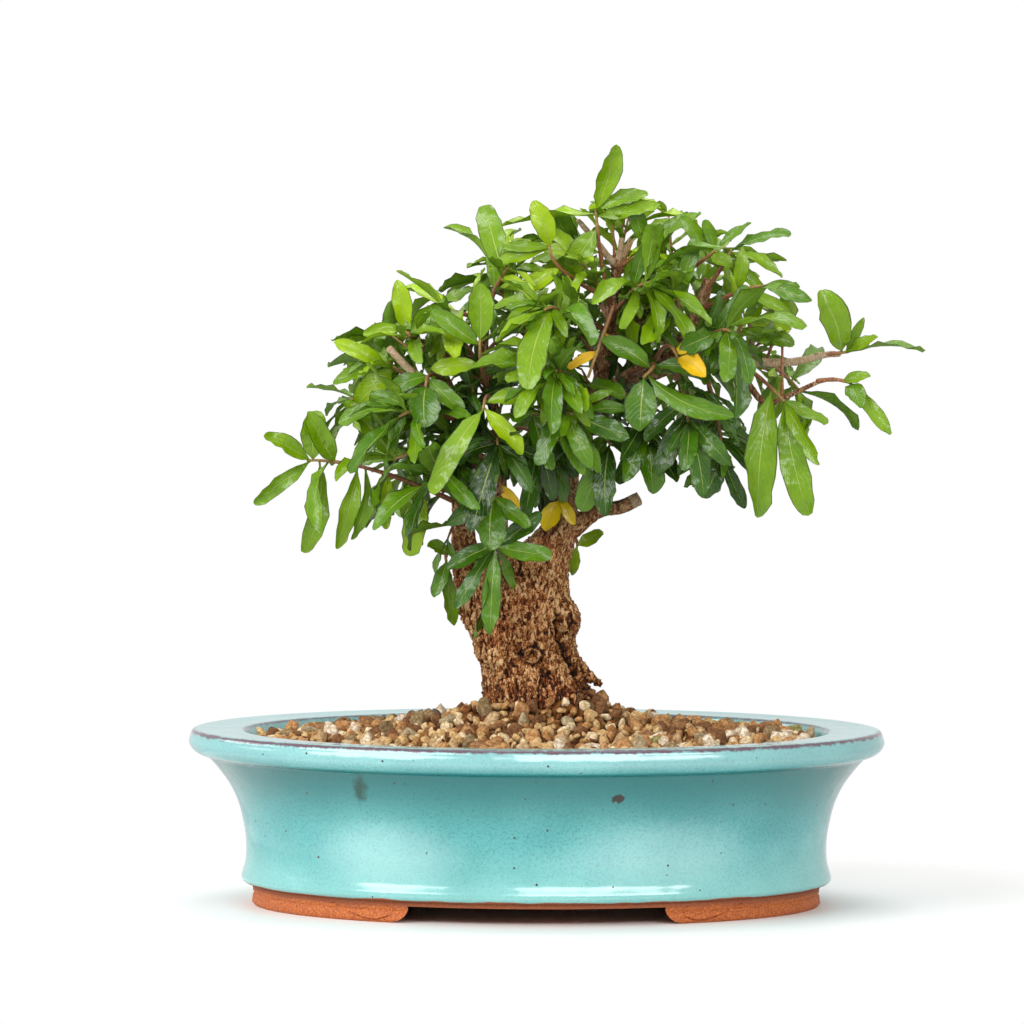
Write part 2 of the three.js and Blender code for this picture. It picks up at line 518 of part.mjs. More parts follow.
// Each shoot: its route by start, middle and end as [x, depth, z], then how many opposite pairs of
// leaves it bears by rule and their length, then the leaves set by hand as
// [place along the shoot, tip x, tip z, width seen from the front].
const SHOOTS = {
  yellow_leaves: {
    route: [[43, -8.5, 202], [48, -38, 209], [52, -46, 204]],
    leaves: [[1, 62.5, 197.5, 8], [0.85, 58, 210, 5]],
  },
  right_reach: {
    route: [[103, -14.5, 205.2], [110, -16, 206.2], [115, -17, 206.8]],
    leaves: [
      [0.8, 104.6, 229.8, 12.3], [1, 121.4, 219.8, 4], [0.9, 126.6, 212.7, 5], [1, 144.5, 207.5, 4],
    ],
  },
  crown_top: {
    route: [[27, -4, 222], [23, -16, 244], [21.3, -19, 260]],
    leaves: [
      [1, 28.9, 283.9, 9], [0.97, 40.8, 265.6, 6], [0.9, 45.3, 261.6, 7], [0.93, -14, 253.5, 4.5],
      [0.75, 10.3, 235, 10], [0.5, 2, 244, 8],
    ],
  },
  crown_left: {
    route: [[27.5, -5, 226], [10, -20, 236], [4, -24, 246]],
    leaves: [
      [1, -2, 263, 9], [0.97, -13.6, 245.2, 5], [0.95, -18.5, 237.3, 6], [0.6, -8, 226, 8],
      [0.5, 14, 216, 8],
    ],
  },
  crown_right: {
    route: [[29, -8, 238], [36, -14, 242], [39, -15, 246.5]],
    leaves: [[1, 34.5, 261.6, 7], [1, 60.6, 258.6, 6], [0.7, 52, 236, 8], [0.9, 48, 250, 7]],
  },
  upper_right: {
    route: [[50, -10, 234], [60, -22, 240], [66, -26, 245]],
    leaves: [[0.7, 53, 257.5, 6], [1, 79.2, 255, 4], [1, 61.7, 256, 5], [0.8, 72, 238, 7]],
  },
  upper_right_outer: {
    route: [[60, -16, 226], [68, -22, 238], [72, -24, 245]],
    leaves: [[1, 94.2, 251, 4.5], [0.9, 91, 234.5, 5], [0.8, 84, 229, 5], [0.5, 60, 248, 7]],
  },
  right_curl: {
    route: [[60, -16, 222], [74, -28, 229], [84, -30, 231.5]],
    leaves: [[1, 102, 226, 6], [1, 97.5, 231, 4.5], [0.6, 94, 222, 5], [0.5, 76, 246, 6]],
  },
  right_shoulder: {
    route: [[73, -11, 203.7], [74, -19, 213], [77.4, -21, 218]],
    leaves: [[1, 65, 225.7, 9], [1, 94.5, 215.3, 6], [0.6, 95.6, 209.5, 7.5], [0.9, 86, 228, 6]],
  },
  right_fold: {
    route: [[104, -23.6, 195.8], [111, -27, 196.5], [117, -29, 195]],
    leaves: [[1, 120.5, 186, 8], [1, 131.5, 176, 6], [0.7, 124, 198, 5]],
  },
  right_hang: {
    route: [[76, -12, 202], [84, -30, 196], [92, -36, 188]],
    leaves: [[1, 101, 145.6, 11], [0.97, 105, 164.6, 5.5], [0.7, 82, 144.8, 13], [0.95, 108.3, 180.3, 5.5]],
  },
  right_inner_low: {
    route: [[60, -12, 206], [66, -26, 186], [69, -30, 168]],
    leaves: [[1, 77.4, 148.2, 6], [0.95, 62, 152, 8], [0.8, 82, 160, 8], [0.6, 54, 164, 8]],
  },
  right_mid: {
    route: [[50, -11, 206], [54, -34, 192], [56, -42, 180]],
    pairs: 1,
    leaves: [[1, 62, 152, 9], [0.9, 72, 164, 8], [0.8, 45, 160, 9]],
  },
  front_right_long: {
    route: [[34, -6, 198], [43, -38, 202], [39, -48, 197]],
    leaves: [[1, 38, 177, 13.5], [0.9, 73, 182.5, 6.5], [0.75, 23.5, 211.5, 8.5], [0.6, 62, 200, 7]],
  },
  low_right_center: {
    route: [[26, -3, 194], [38, -24, 186], [42, -30, 173]],
    leaves: [[1, 43, 153.5, 10], [0.9, 52, 158, 8], [0.7, 32, 158, 9]],
  },
  low_center: {
    route: [[14, 2, 174], [22, -20, 176], [27, -28, 171.7]],
    leaves: [[0.85, 16.2, 147, 10.5], [1, 25.5, 145.2, 9]],
  },
  front_center: {
    route: [[-15, -4, 182], [2, -38, 184], [14.5, -44, 183]],
    pairs: 1,
    leaves: [[1, 34, 174.3, 9.7], [0.85, 20, 163, 8], [0.7, 0, 164, 8], [0.5, 2, 198, 7]],
  },
  yellowing_leaf: {
    route: [[12.3, 2, 160], [9, -10, 157], [8, -13, 151]],
    leaves: [[1, 3, 139.5, 8.5], [0.9, 14, 142, 5]],
  },
  behind_trunk: {
    route: [[11, 3, 138], [14, 12, 137], [15, 14, 134]],
    leaves: [[1, 24.4, 139.6, 6], [1, 13, 123, 6]],
  },
  lower_front: {
    route: [[-13.5, 2, 142], [-14.5, -22, 138], [-15.8, -28, 133.3]],
    leaves: [
      [1, 1.3, 146.7, 7.5], [1, 5.4, 130.3, 8], [0.97, 2, 125, 5.5], [0.93, -8.8, 118, 4.5],
      [0.9, -33.7, 125, 7.5], [0.8, -30.8, 110.1, 6.5], [1, -23.7, 99.3, 5], [1, -17.7, 100.5, 8],
    ],
  },
  lower_front_high: {
    route: [[-14, 2, 154], [-15, -24, 156], [-16.5, -34, 151.2]],
    leaves: [[1, -17.7, 132.2, 13.4], [0.9, -3, 141, 7], [0.85, -34, 142, 7]],
  },
  front_stem: {
    route: [[-14, 0, 171], [-15, -28, 174], [-15, -38, 171.7]],
    leaves: [[1, -24.8, 138.9, 11.6], [0.8, -2, 154, 7], [0.9, -36, 162, 7]],
  },
  left_low: {
    route: [[-27.2, -2, 135], [-33, -10, 132], [-34, -12, 128]],
    leaves: [[1, -38.6, 114.6, 6], [0.6, -41.2, 134, 6], [0.9, -31, 104, 6]],
  },
  bright_left: {
    route: [[-17, -4, 186], [-19, -38, 190], [-20.7, -48, 184.4]],
    leaves: [[1, -40, 153.4, 9], [0.9, -6, 168, 8], [0.8, -2, 190, 7]],
  },
  front_left_fan: {
    route: [[-17.5, -7, 191], [-21, -36, 200], [-21.8, -44, 211]],
    leaves: [
      [1, -21.8, 232, 10.5], [0.75, 1.3, 208, 3.5], [1, 8.8, 229, 4], [0.9, -40, 222, 8], [0.6, -40, 200, 8],
    ],
  },
  left_round: {
    route: [[-34, -16, 196], [-40, -32, 198], [-42, -38, 193]],
    leaves: [[1, -42.3, 178, 13], [0.7, -28, 184, 8], [0.6, -56, 192, 7]],
  },
  left_high: {
    route: [[-38, -19, 203], [-46, -26, 211], [-50, -27, 214]],
    leaves: [[1, -52.8, 233.2, 8], [1, -65.5, 213, 5.5], [0.7, -36, 224, 7]],
  },
  left_crest: {
    route: [[-31, -13, 188], [-48, -22, 197], [-57, -24, 202]],
    pairs: 1,
    leaves: [[1, -76.3, 210, 7.5], [0.95, -76.6, 194.4, 6], [0.8, -68.4, 186, 10.5]],
  },
  left_inner: {
    route: [[-27, -4, 163], [-42, -24, 168], [-54, -28, 166]],
    pairs: 1,
    leaves: [[1, -72.5, 187.8, 9.7], [0.9, -62, 192, 8]],
  },
  left_reach: {
    route: [[-28, -3, 149], [-60.6, -14, 162], [-86.3, -18, 165.7]],
    leaves: [
      [1, -102.4, 175, 7.5], [1, -106, 149.3, 5.6], [0.95, -82.6, 184.4, 10], [0.9, -87.1, 131, 6.7],
      [0.84, -80.7, 138, 5.6], [0.78, -86, 184, 9], [0.62, -75, 132.5, 6.7], [0.57, -69.5, 136, 5],
      [0.46, -58.5, 144.8, 5.5], [0.42, -56.9, 140, 5], [0.36, -64.7, 142.2, 6], [0.3, -49.4, 143.3, 5],
      [0.24, -47.5, 129.9, 10.5],
    ],
  },
  top_left_outer: { route: [[-19, -12, 216], [-29, -24, 221], [-36, -28, 221]], pairs: 3, length: 24 },
  top_left: { route: [[-19, -12, 221], [-15, -20, 232], [-11, -24, 238]], pairs: 2, length: 28 },
  front_high: { route: [[26, -4, 214], [10, -38, 222], [2, -48, 222]], pairs: 3, length: 30 },
  front_mid: { route: [[20, -2, 188], [10, -40, 198], [6, -54, 199]], pairs: 3, length: 28 },
  front_right_high: { route: [[27, -4, 219], [36, -34, 230], [42, -42, 232]], pairs: 3, length: 28 },
  front_right_mid: { route: [[57, -12, 206.5], [66, -36, 214], [72, -44, 214]], pairs: 3, length: 28 },
  right_top: { route: [[54, -13, 212], [52, -30, 224], [50, -36, 230]], pairs: 2, length: 28 },
  left_mid_front: { route: [[-26, -9, 179], [-42, -36, 184], [-52, -42, 182]], pairs: 3, length: 28 },
  left_low_front: { route: [[-24, -6, 169], [-33, -32, 164], [-38, -38, 158]], pairs: 2, length: 27 },
  back_top: { route: [[27, -3, 217], [18, 16, 236], [14, 22, 246]], pairs: 3, length: 28 },
  back_top_left: { route: [[-5, 44.5, 214], [-14, 38, 230], [-18, 34, 240]], pairs: 2, length: 28 },
  back_center: { route: [[2, 36, 203], [0, 54, 208], [0, 64, 206]], pairs: 3, length: 30 },
  back_center_low: { route: [[9, 19, 188], [8, 42, 184], [6, 54, 176]], pairs: 2, length: 28 },
  back_left_outer: { route: [[-58, 35.5, 189.5], [-64, 40, 190], [-70, 42, 188]], pairs: 3, length: 22 },
  back_left_high: { route: [[-44, 29, 183], [-50, 34, 202], [-52, 32, 212]], pairs: 2, length: 28 },
  back_left_low: { route: [[-38, 25, 179], [-44, 44, 168], [-48, 50, 160]], pairs: 2, length: 28 },
  back_right_outer: { route: [[72, 43, 204], [80, 46, 202], [86, 48, 200]], pairs: 3, length: 24 },
  back_right_high: { route: [[54, 35, 201.5], [58, 34, 222], [60, 30, 234]], pairs: 2, length: 28 },
  back_right_low: { route: [[48, 30, 199.5], [60, 50, 188], [66, 54, 176]], pairs: 2, length: 28 },
  back_inner: { route: [[30, 11, 193.5], [28, 38, 212], [26, 48, 220]], pairs: 2, length: 28 },
  side_right: { route: [[86, -12, 203], [92, 8, 198], [98, 18, 192]], pairs: 2, length: 28 },
  side_left: { route: [[-31, -12.5, 187], [-44, 4, 198], [-54, 8, 204]], pairs: 2, length: 28 },
};

const FRONT = vector(0, -1, 0.4); // the leaves set by hand face this way
const CANOPY_CENTRE = vector(5, 0, 175);
const UP = vector(0, 0, 1);
const LEAF_LEAN = 3; // how far the tip of a leaf set by hand lies beyond its root, away from the trunk
const LEAST_WIDTH = 0.8; // of a leaf set by hand, as a share of its usual width
const PAIRED_LENGTH = 0.62; // share of a shoot that bears pairs
const PAIR_TURN = 90; // each pair stands across the one before
const PAIR_STRAY = 20;
const LEAF_LENGTH = 27; // of the leaves by rule, where their shoot doesn't say
const WIDTH_RANGE = [0.85, 1.15]; // of the usual width
const LEAF_DROOP = 0.28; // how much a leaf by rule hangs below its own angle
const LEAF_ANGLE = [45, 70]; // between a leaf by rule and its shoot
const LEAF_STRAY = 0.5; // share of the drawn range for the length of a leaf by rule

// What is tried in turn until a leaf comes clear of the other shoots and the wood.
// By hand: shift of the tip's depth, turn about the midrib.
const HAND_TRIES = [
  [0, 0], [-6, 0], [6, 0], [-12, 0], [12, 0], [0, 25], [0, -25], [-9, 20], [9, -20], [-18, 0], [0, 50],
  [0, -50],
];
// By rule: swing about the shoot, lift, turn about the midrib.
const RULE_TRIES = [
  [0, 0, 0], [18, 0, 0], [-18, 0, 0], [0, 15, 0], [0, -15, 0], [32, 0, 20], [-32, 0, -20], [0, 28, 20],
  [0, -28, -20], [24, 20, 0], [-24, 20, 0], [48, 10, 0], [-48, 10, 0],
];

/** The curve of a shoot through its three points. */
function shootCurve(route) {
  const [start, middle, end] = route.map(place);
  const control = middle.clone().multiplyScalar(2).addScaledVector(start, -0.5).addScaledVector(end, -0.5);
  return new THREE.QuadraticBezierCurve3(start, control, end);
}

/** The point at t on the axis of a shoot, which is straight between its steps. */
function shootPoint(curve, t) {
  const step = Math.min(t, LAST_LEAF) * SHOOT_STEPS;
  const from = curve.getPoint(Math.floor(step) / SHOOT_STEPS);
  return from.lerp(curve.getPoint(Math.ceil(step) / SHOOT_STEPS), step - Math.floor(step));
}

/** Half width of a leaf at u along it, for a leaf 1 wide: slender at the root, widest past the middle. */
function leafOutline(u) {
  return 0.5 * Math.sin(Math.PI * u ** LEAF_BELLY) ** LEAF_FULLNESS;
}

/** A leaf from its root and tip, with its frame: along, across, and out of the face turned to `facing`. */
function leafBetween(root, tip, facing, width, turn, phase) {
  const along = tip.clone().sub(root);
  const length = along.length();
  along.normalize();
  const out = facing.clone().addScaledVector(along, -facing.dot(along)).normalize();
  out.applyAxisAngle(along, degrees(turn));
  const across = along.clone().cross(out);
  return { root, along, across, out, length, width, phase };
}

/** The solid blade of a leaf, larger all round by `more`. */
function blade(leaf, more = 0) {
  const { root, along, across, out, length, width, phase } = leaf;
  const point = (u, side, face) => {
    const half = leafOutline(Math.min(Math.max(u, 0), 1)) * width + (u > 0 && u < 1 ? more : 0);
    const wave = LEAF_WAVE * length * Math.sin(2 * Math.PI * (LEAF_WAVES * u + phase) + side);
    const lift = LEAF_ARCH * length * 4 * u * (1 - u) + Math.abs(side) * (LEAF_FOLD * half + wave);
    return root
      .clone()
      .addScaledVector(along, u * length)
      .addScaledVector(across, side * half)
      .addScaledVector(out, lift + face * (LEAF_THICK / 2 + more));
  };
  const [first, ...ribbed] = width < LARGE_LEAF_WIDTH ? LEAF_STATIONS : LARGE_LEAF_STATIONS;
  const face = (sign) => [
    point(LEAF_START / length, 0, sign),
    point(first, -1, sign),
    point(first, 1, sign),
    ...ribbed.flatMap((u) => [-1, 0, 1].map((side) => point(u, side, sign))),
  ];
  const points = [...face(1), ...face(-1), point(1 + more / length, 0, 0)];
  const perFace = (points.length - 1) / 2;
  const tip = points.length - 1;
  const sheet = [[0, 2, 1], [1, 2, 4], [2, 5, 4], [4, 3, 1]];
  for (let left = 3; left + 3 < perFace; left += 3) {
    sheet.push([left, left + 1, left + 4], [left, left + 4, left + 3]);
    sheet.push([left + 1, left + 2, left + 5], [left + 1, left + 5, left + 4]);
  }
  const [left, middle, right] = [perFace - 3, perFace - 2, perFace - 1];
  const leftEdge = [0, 1, ...ribbed.map((_, k) => 3 + 3 * k)];
  const rightEdge = [...ribbed.map((_, k) => 5 + 3 * k).reverse(), 2, 0];
  const faces = [...sheet, ...sheet.map(([a, b, c]) => [a + perFace, c + perFace, b + perFace])];
  for (const edge of [leftEdge, rightEdge]) {
    for (let k = 0; k + 1 < edge.length; k += 1) {
      const [a, b] = [edge[k], edge[k + 1]];
      faces.push([a, b, b + perFace], [a, b + perFace, a + perFace]);
    }
  }
  const end = [left, middle, right, right + perFace, middle + perFace, left + perFace];
  end.forEach((corner, k) => faces.push([corner, end[(k + 1) % end.length], tip]));
  return solidOf(geometryOf(points, faces));
}

/** Every place that a leaf set by hand may take, best first. */
function handTries(curve, [t, tipX, tipZ, seenWidth], draw) {
  const root = shootPoint(curve, t);
  const phase = draw();
  const lean = root.y < 0 ? -LEAF_LEAN : LEAF_LEAN;
  const side = draw() < 0.5 ? -1 : 1;
  return HAND_TRIES.map(([shift, turn]) => {
    const tip = place([tipX, root.y + lean + shift, tipZ]);
    const width = Math.max(seenWidth, LEAST_WIDTH * LEAF_SLENDER * tip.distanceTo(root));
    const narrowed = THREE.MathUtils.radToDeg(Math.acos(seenWidth / width));
    return leafBetween(root, tip, FRONT, width, side * narrowed + turn, phase);
  });
}

/** Every place that one leaf of a pair may take, best first. */
function ruleTries(curve, t, around, length, draw) {
  const root = shootPoint(curve, t);
  const stem = curve.getTangent(t);
  const flat = stem.clone().cross(UP).normalize();
  const upright = flat.clone().cross(stem);
  const angle = mix(...LEAF_ANGLE, draw());
  const leafLength = length * (1 + LEAF_STRAY * (draw() - 0.5));
  const width = leafLength * LEAF_SLENDER * mix(...WIDTH_RANGE, draw());
  const phase = draw();
  const facing = root.clone().sub(CANOPY_CENTRE).normalize().add(UP);
  return RULE_TRIES.map(([swing, lift, turn]) => {
    const spin = degrees(around + swing);
    const spread = degrees(angle - lift);
    const direction = stem.clone().multiplyScalar(Math.cos(spread));
    direction.addScaledVector(flat, Math.cos(spin) * Math.sin(spread));
    direction.addScaledVector(upright, Math.sin(spin) * Math.sin(spread));
    direction.addScaledVector(UP, -LEAF_DROOP).normalize();
    const tip = root.clone().addScaledVector(direction, leafLength);
    return leafBetween(root, tip, facing, width, turn, phase);
  });
}

/** The tries for every leaf of a shoot: those set by hand, then the pairs by rule and the one at its tip. */
function leavesOf({ leaves = [], pairs = 0, length = LEAF_LENGTH }, curve, draw) {
  const byHand = leaves.map((leaf) => handTries(curve, leaf, draw));
  const byRule = [];
  for (let pair = 0; pair < pairs; pair += 1) {
    const t = 1 - (pair / pairs) * PAIRED_LENGTH;
    const around = pair * PAIR_TURN + (2 * draw() - 1) * PAIR_STRAY;
    byRule.push(ruleTries(curve, t, around, length, draw));
    byRule.push(ruleTries(curve, t, around + 180, length, draw));
  }
  return { byHand, byRule };
}

function boxesMeet(a, b) {
  return a.min.every((low, axis) => low < b.max[axis]) && b.min.every((low, axis) => low < a.max[axis]);
}

/** Whether a solid meets any in a list of { solid, box }. */
function meetsAny(solid, others) {
  const box = solid.boundingBox();
  return others.some((other) => boxesMeet(box, other.box) && !solid.intersect(other.solid).isEmpty());
}

const boxed = (solid, owner) => ({ solid, owner, box: solid.boundingBox() });

/** Whether no two points of a solid are so close that rounding could weld them. */
function pointsApart(solid) {
  const { vertProperties } = solid.getMesh();
  const points = [];
  for (let i = 0; i < vertProperties.length; i += 3) points.push(vector().fromArray(vertProperties, i));
  points.sort((a, b) => a.x - b.x);
  return points.every((point, index) => {
    for (let next = index + 1; next < points.length; next += 1) {
      if (points[next].x - point.x > CLOSEST_POINTS) return true;
      if (points[next].distanceTo(point) < CLOSEST_POINTS) return false;
    }
    return true;
  });
}

/** The bare stems of all shoots, trimmed where they leave the wood and where they would meet. */
function stems() {
  const around = wood(GAP);
  const found = [];
  for (const [name, shoot] of Object.entries(SHOOTS)) {
    const curve = shootCurve(shoot.route);
    const stemOf = (more) => rod(curve, SHOOT_STEPS, SHOOT_SIDES, (t) => mix(...SHOOT_RADIUS, t) + more);
    const trimmed = found.reduce((stem, other) => stem.subtract(other.room), stemOf(0).subtract(around));
    found.push({ ...boxed(largestBody(trimmed), name), curve, room: stemOf(GAP) });
  }
  return found;
}

/** All shoots with their leaves, each one solid, clear of the wood and of each other. */
function shoots() {
  const bare = boxed(wood(), "wood");
  const found = stems();
  const bodies = new Map(found.map(({ owner, solid }) => [owner, solid]));
  const tries = found.map(({ owner, curve }, index) => leavesOf(SHOOTS[owner], curve, drawsFrom(index + 1)));
  const placed = [];
  const grow = (owner, places, others) => {
    for (const leaf of places) {
      const room = blade(leaf, GAP);
      const strange = placed.filter((other) => other.owner !== owner);
      if (meetsAny(room, others) || meetsAny(room, strange)) continue;
      const body = blade(leaf);
      const own = placed.filter((other) => other.owner === owner);
      const shared = own.reduce((sum, other) => sum + body.intersect(other.solid).volume(), 0);
      if (shared > OWN_OVERLAP * body.volume()) continue;
      const joined = bodies.get(owner).add(body);
      const smooth = joined.simplify(FINEST);
      if (smooth.decompose().length > 1 || !pointsApart(smooth)) continue;
      bodies.set(owner, joined);
      placed.push(boxed(body, owner));
      return;
    }
  };
  for (const kind of ["byHand", "byRule"]) {
    tries.forEach((shoot, index) => {
      const { owner } = found[index];
      const others = [bare, ...found.filter((other) => other.owner !== owner)];
      for (const places of shoot[kind]) grow(owner, places, others);
    });
  }
  return [...bodies];
}

// ------------------------------------------------------------------------------------ the object

function material(color, roughness, metalness = 0) {
  return new THREE.MeshStandardMaterial({ color, roughness, metalness });
}

const glaze = material("#62b3ae", 0.25);
const screenPlastic = material("#2f3230", 0.6);
const gravel = material("#a98458", 0.9);
const bark = material("#8a5a34", 0.85);
const leafGreen = [material("#4f8a2a", 0.4), material("#3b7426", 0.4), material("#2f5f33", 0.35)];
const leafYellow = material("#f0b020", 0.5);

const bonsai = new THREE.Group();
bonsai.add(meshOf("pot", pot(), glaze));
bonsai.add(meshOf("drain_screen_left", drainScreen(-DRAIN_HOLE_X), screenPlastic));
bonsai.add(meshOf("drain_screen_right", drainScreen(DRAIN_HOLE_X), screenPlastic));
bonsai.add(meshOf("soil", soil([-DRAIN_HOLE_X, DRAIN_HOLE_X]), gravel));
bonsai.add(meshOf("trunk", wood(), bark));
shoots().forEach(([name, solid], index) => {
  const finish = name === "yellow_leaves" ? leafYellow : leafGreen[index % leafGreen.length];
  bonsai.add(meshOf(`shoot_${name}`, solid, finish));
});

// The origin is the middle of the whole object's box, on the table.
const extent = new THREE.Box3().setFromObject(bonsai);
const centre = extent.getCenter(vector(0, 0, 0));
bonsai.position.set(-centre.x, -centre.y, -extent.min.z);
bonsai.updateMatrixWorld(true);

export default bonsai;
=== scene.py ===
"""A pomegranate bonsai in an oval turquoise pot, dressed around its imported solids.

Lengths are millimetres about the middle of the pot, on the table, until a mesh is made; to_frame() then
carries them to the frame's metres. +Z is up and the front of the tree looks towards -Y.
"""

from __future__ import annotations

import json
import logging
import math
from dataclasses import dataclass, field
from enum import Enum
from functools import partial
from typing import Callable, Iterable, Sequence

import bmesh
import bpy
import numpy as np
from mathutils import Matrix, Vector, noise
from mathutils.kdtree import KDTree

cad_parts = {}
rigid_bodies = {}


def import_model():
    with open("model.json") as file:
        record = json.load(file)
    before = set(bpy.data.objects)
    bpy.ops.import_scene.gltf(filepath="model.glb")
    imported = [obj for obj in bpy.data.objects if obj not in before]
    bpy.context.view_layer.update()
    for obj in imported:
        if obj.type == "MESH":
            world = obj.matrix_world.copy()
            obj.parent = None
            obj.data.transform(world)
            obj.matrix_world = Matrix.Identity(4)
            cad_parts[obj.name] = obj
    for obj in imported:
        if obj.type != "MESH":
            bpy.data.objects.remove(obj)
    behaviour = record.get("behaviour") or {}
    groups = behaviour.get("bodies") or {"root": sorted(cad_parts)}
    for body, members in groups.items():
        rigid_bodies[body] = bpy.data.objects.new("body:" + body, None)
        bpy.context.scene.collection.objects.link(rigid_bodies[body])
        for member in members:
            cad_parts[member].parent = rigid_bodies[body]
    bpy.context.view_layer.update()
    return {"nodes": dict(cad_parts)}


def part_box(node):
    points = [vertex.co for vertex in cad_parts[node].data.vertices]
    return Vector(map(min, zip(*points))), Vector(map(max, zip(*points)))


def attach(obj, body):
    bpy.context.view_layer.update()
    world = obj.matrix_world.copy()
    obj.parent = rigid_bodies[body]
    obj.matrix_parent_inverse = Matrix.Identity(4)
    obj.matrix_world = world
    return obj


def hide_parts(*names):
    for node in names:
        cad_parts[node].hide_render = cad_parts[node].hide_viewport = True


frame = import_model()
BODY = "root"
MM = 0.001

Piece = bpy.types.Object
Socket = bpy.types.NodeSocket
Array = np.ndarray
Spot = tuple[float, float, float]
Pair = tuple[float, float]
Face = tuple[int, ...]
Shape = tuple[Array, list[Face]]
Curve = Callable[[float], Array]

log = logging.getLogger("bonsai")


def pot_middle() -> np.ndarray:
    """The point of the frame, in metres, that lies on the table under the middle of the pot."""
    low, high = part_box("pot")
    return np.array([(low[0] + high[0]) / 2, (low[1] + high[1]) / 2, low[2]])


POT_MIDDLE = pot_middle()


# --------------------------------------------- small helpers


def to_frame(points: Array) -> Array:
    """Carries points from millimetres about the pot's middle to metres in the frame.

    Args:
        points: rows of x, y, z in millimetres.

    Returns:
        The same rows in metres in the frame.
    """
    return np.asarray(points, dtype=float) * MM + POT_MIDDLE


def unit(vector: Array) -> Array:
    """The vector with its length made 1."""
    return vector / np.linalg.norm(vector)


def smooth_step(low: float, high: float, value: Array) -> Array:
    """A soft step of value from 0 at low to 1 at high."""
    t = np.clip((value - low) / (high - low), 0.0, 1.0)
    return t * t * (3 - 2 * t)


def turned(vector: Array, axis: Array, degrees: float) -> Array:
    """Turns a vector about a unit axis.

    Args:
        vector: what is turned.
        axis: unit axis.
        degrees: angle, right-handed about the axis.

    Returns:
        The turned vector.
    """
    angle = math.radians(degrees)
    along = axis * np.dot(axis, vector) * (1 - math.cos(angle))
    return vector * math.cos(angle) + np.cross(axis, vector) * math.sin(angle) + along


class Draws:
    """A repeatable run of numbers from 0 to 1, the same that the solids are grown with."""

    MASK = 0xFFFFFFFF

    def __init__(self, seed: int) -> None:
        """Starts the run.

        Args:
            seed: a small whole number.
        """
        self.state = (seed * 2654435761) & self.MASK

    def next(self) -> float:
        """The next number from 0 to 1."""
        self.state = (self.state + 0x6D2B79F5) & self.MASK
        t = ((self.state ^ (self.state >> 15)) * (self.state | 1)) & self.MASK
        t ^= (t + (((t ^ (t >> 7)) * (t | 61)) & self.MASK)) & self.MASK
        return ((t ^ (t >> 14)) & self.MASK) / 4294967296

    def between(self, low: float, high: float) -> float:
        """The next number, spread from low to high."""
        return low + (high - low) * self.next()


def mesh_object(name: str, points: Array, faces: Sequence[Sequence[int]]) -> Piece:
    """Makes a smooth mesh object whose place is in its mesh.

    Args:
        name: the piece's name.
        points: rows of x, y, z in millimetres about the pot's middle.
        faces: the corners of each face, turned outwards.

    Returns:
        The object, at the origin of the frame.
    """
    mesh = bpy.data.meshes.new(name)
    mesh.from_pydata(to_frame(points).tolist(), [], faces)
    mesh.update()
    mesh.shade_smooth()
    piece = bpy.data.objects.new(name, mesh)
    bpy.context.scene.collection.objects.link(piece)
    return piece


def store(piece: Piece, name: str, values: Sequence[float], domain: str = "POINT") -> None:
    """Writes one number for each point or face of a piece as a named attribute.

    Args:
        piece: a mesh object.
        name: the attribute's name, which a material reads.
        values: the numbers.
        domain: "POINT" or "FACE".
    """
    attribute = piece.data.attributes.new(name, "FLOAT", domain)
    attribute.data.foreach_set("value", np.asarray(values, dtype=np.float32))


def baked(piece: Piece) -> Piece:
    """Turns a piece with live modifiers into a plain mesh, and removes the modifiers.

    Args:
        piece: a mesh object with modifiers.

    Returns:
        The same object with its evaluated mesh.
    """
    evaluated = piece.evaluated_get(bpy.context.evaluated_depsgraph_get())
    mesh = bpy.data.meshes.new_from_object(evaluated)
    piece.modifiers.clear()
    old, piece.data = piece.data, mesh
    bpy.data.meshes.remove(old)
    mesh.name = piece.name
    return piece


def cut_or_join(piece: Piece, tool: Piece, operation: str) -> None:
    """Cuts a piece by another or joins the other to it, and removes the other.

    Args:
        piece: the piece that stays.
        tool: the closed mesh that cuts or is joined.
        operation: "DIFFERENCE" or "UNION".
    """
    modifier = piece.modifiers.new(operation.title(), "BOOLEAN")
    modifier.operation = operation
    modifier.solver = "MANIFOLD"
    modifier.object = tool
    baked(piece)
    bpy.data.objects.remove(tool)


def dress(piece: Piece, slot: str, finishes: Iterable["Finish"], *nodes: str) -> None:
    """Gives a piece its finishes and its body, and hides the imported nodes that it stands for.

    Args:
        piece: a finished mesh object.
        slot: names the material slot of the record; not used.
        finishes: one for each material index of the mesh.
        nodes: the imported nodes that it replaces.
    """
    slots = piece.data.materials
    for index, finish in enumerate(finishes):
        if index < len(slots):
            slots[index] = finish.material()
        else:
            slots.append(finish.material())
    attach(piece, BODY)
    if nodes:
        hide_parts(*nodes)
    log.info(
        "%s: %d faces, stands for %s", piece.name, len(piece.data.polygons), ", ".join(nodes) or "nothing"
    )


def loft_faces(rows: int, sides: int) -> list[Face]:
    """The quads between rings of equally many points.

    Args:
        rows: how many rings.
        sides: points in each ring.

    Returns:
        The quads, turned outwards where each ring runs anticlockwise as seen from the last ring.
    """
    faces = []
    for row in range(rows - 1):
        base = row * sides
        for side in range(sides):
            following = (side + 1) % sides
            faces.append((base + side, base + following, base + sides + following, base + sides + side))
    return faces


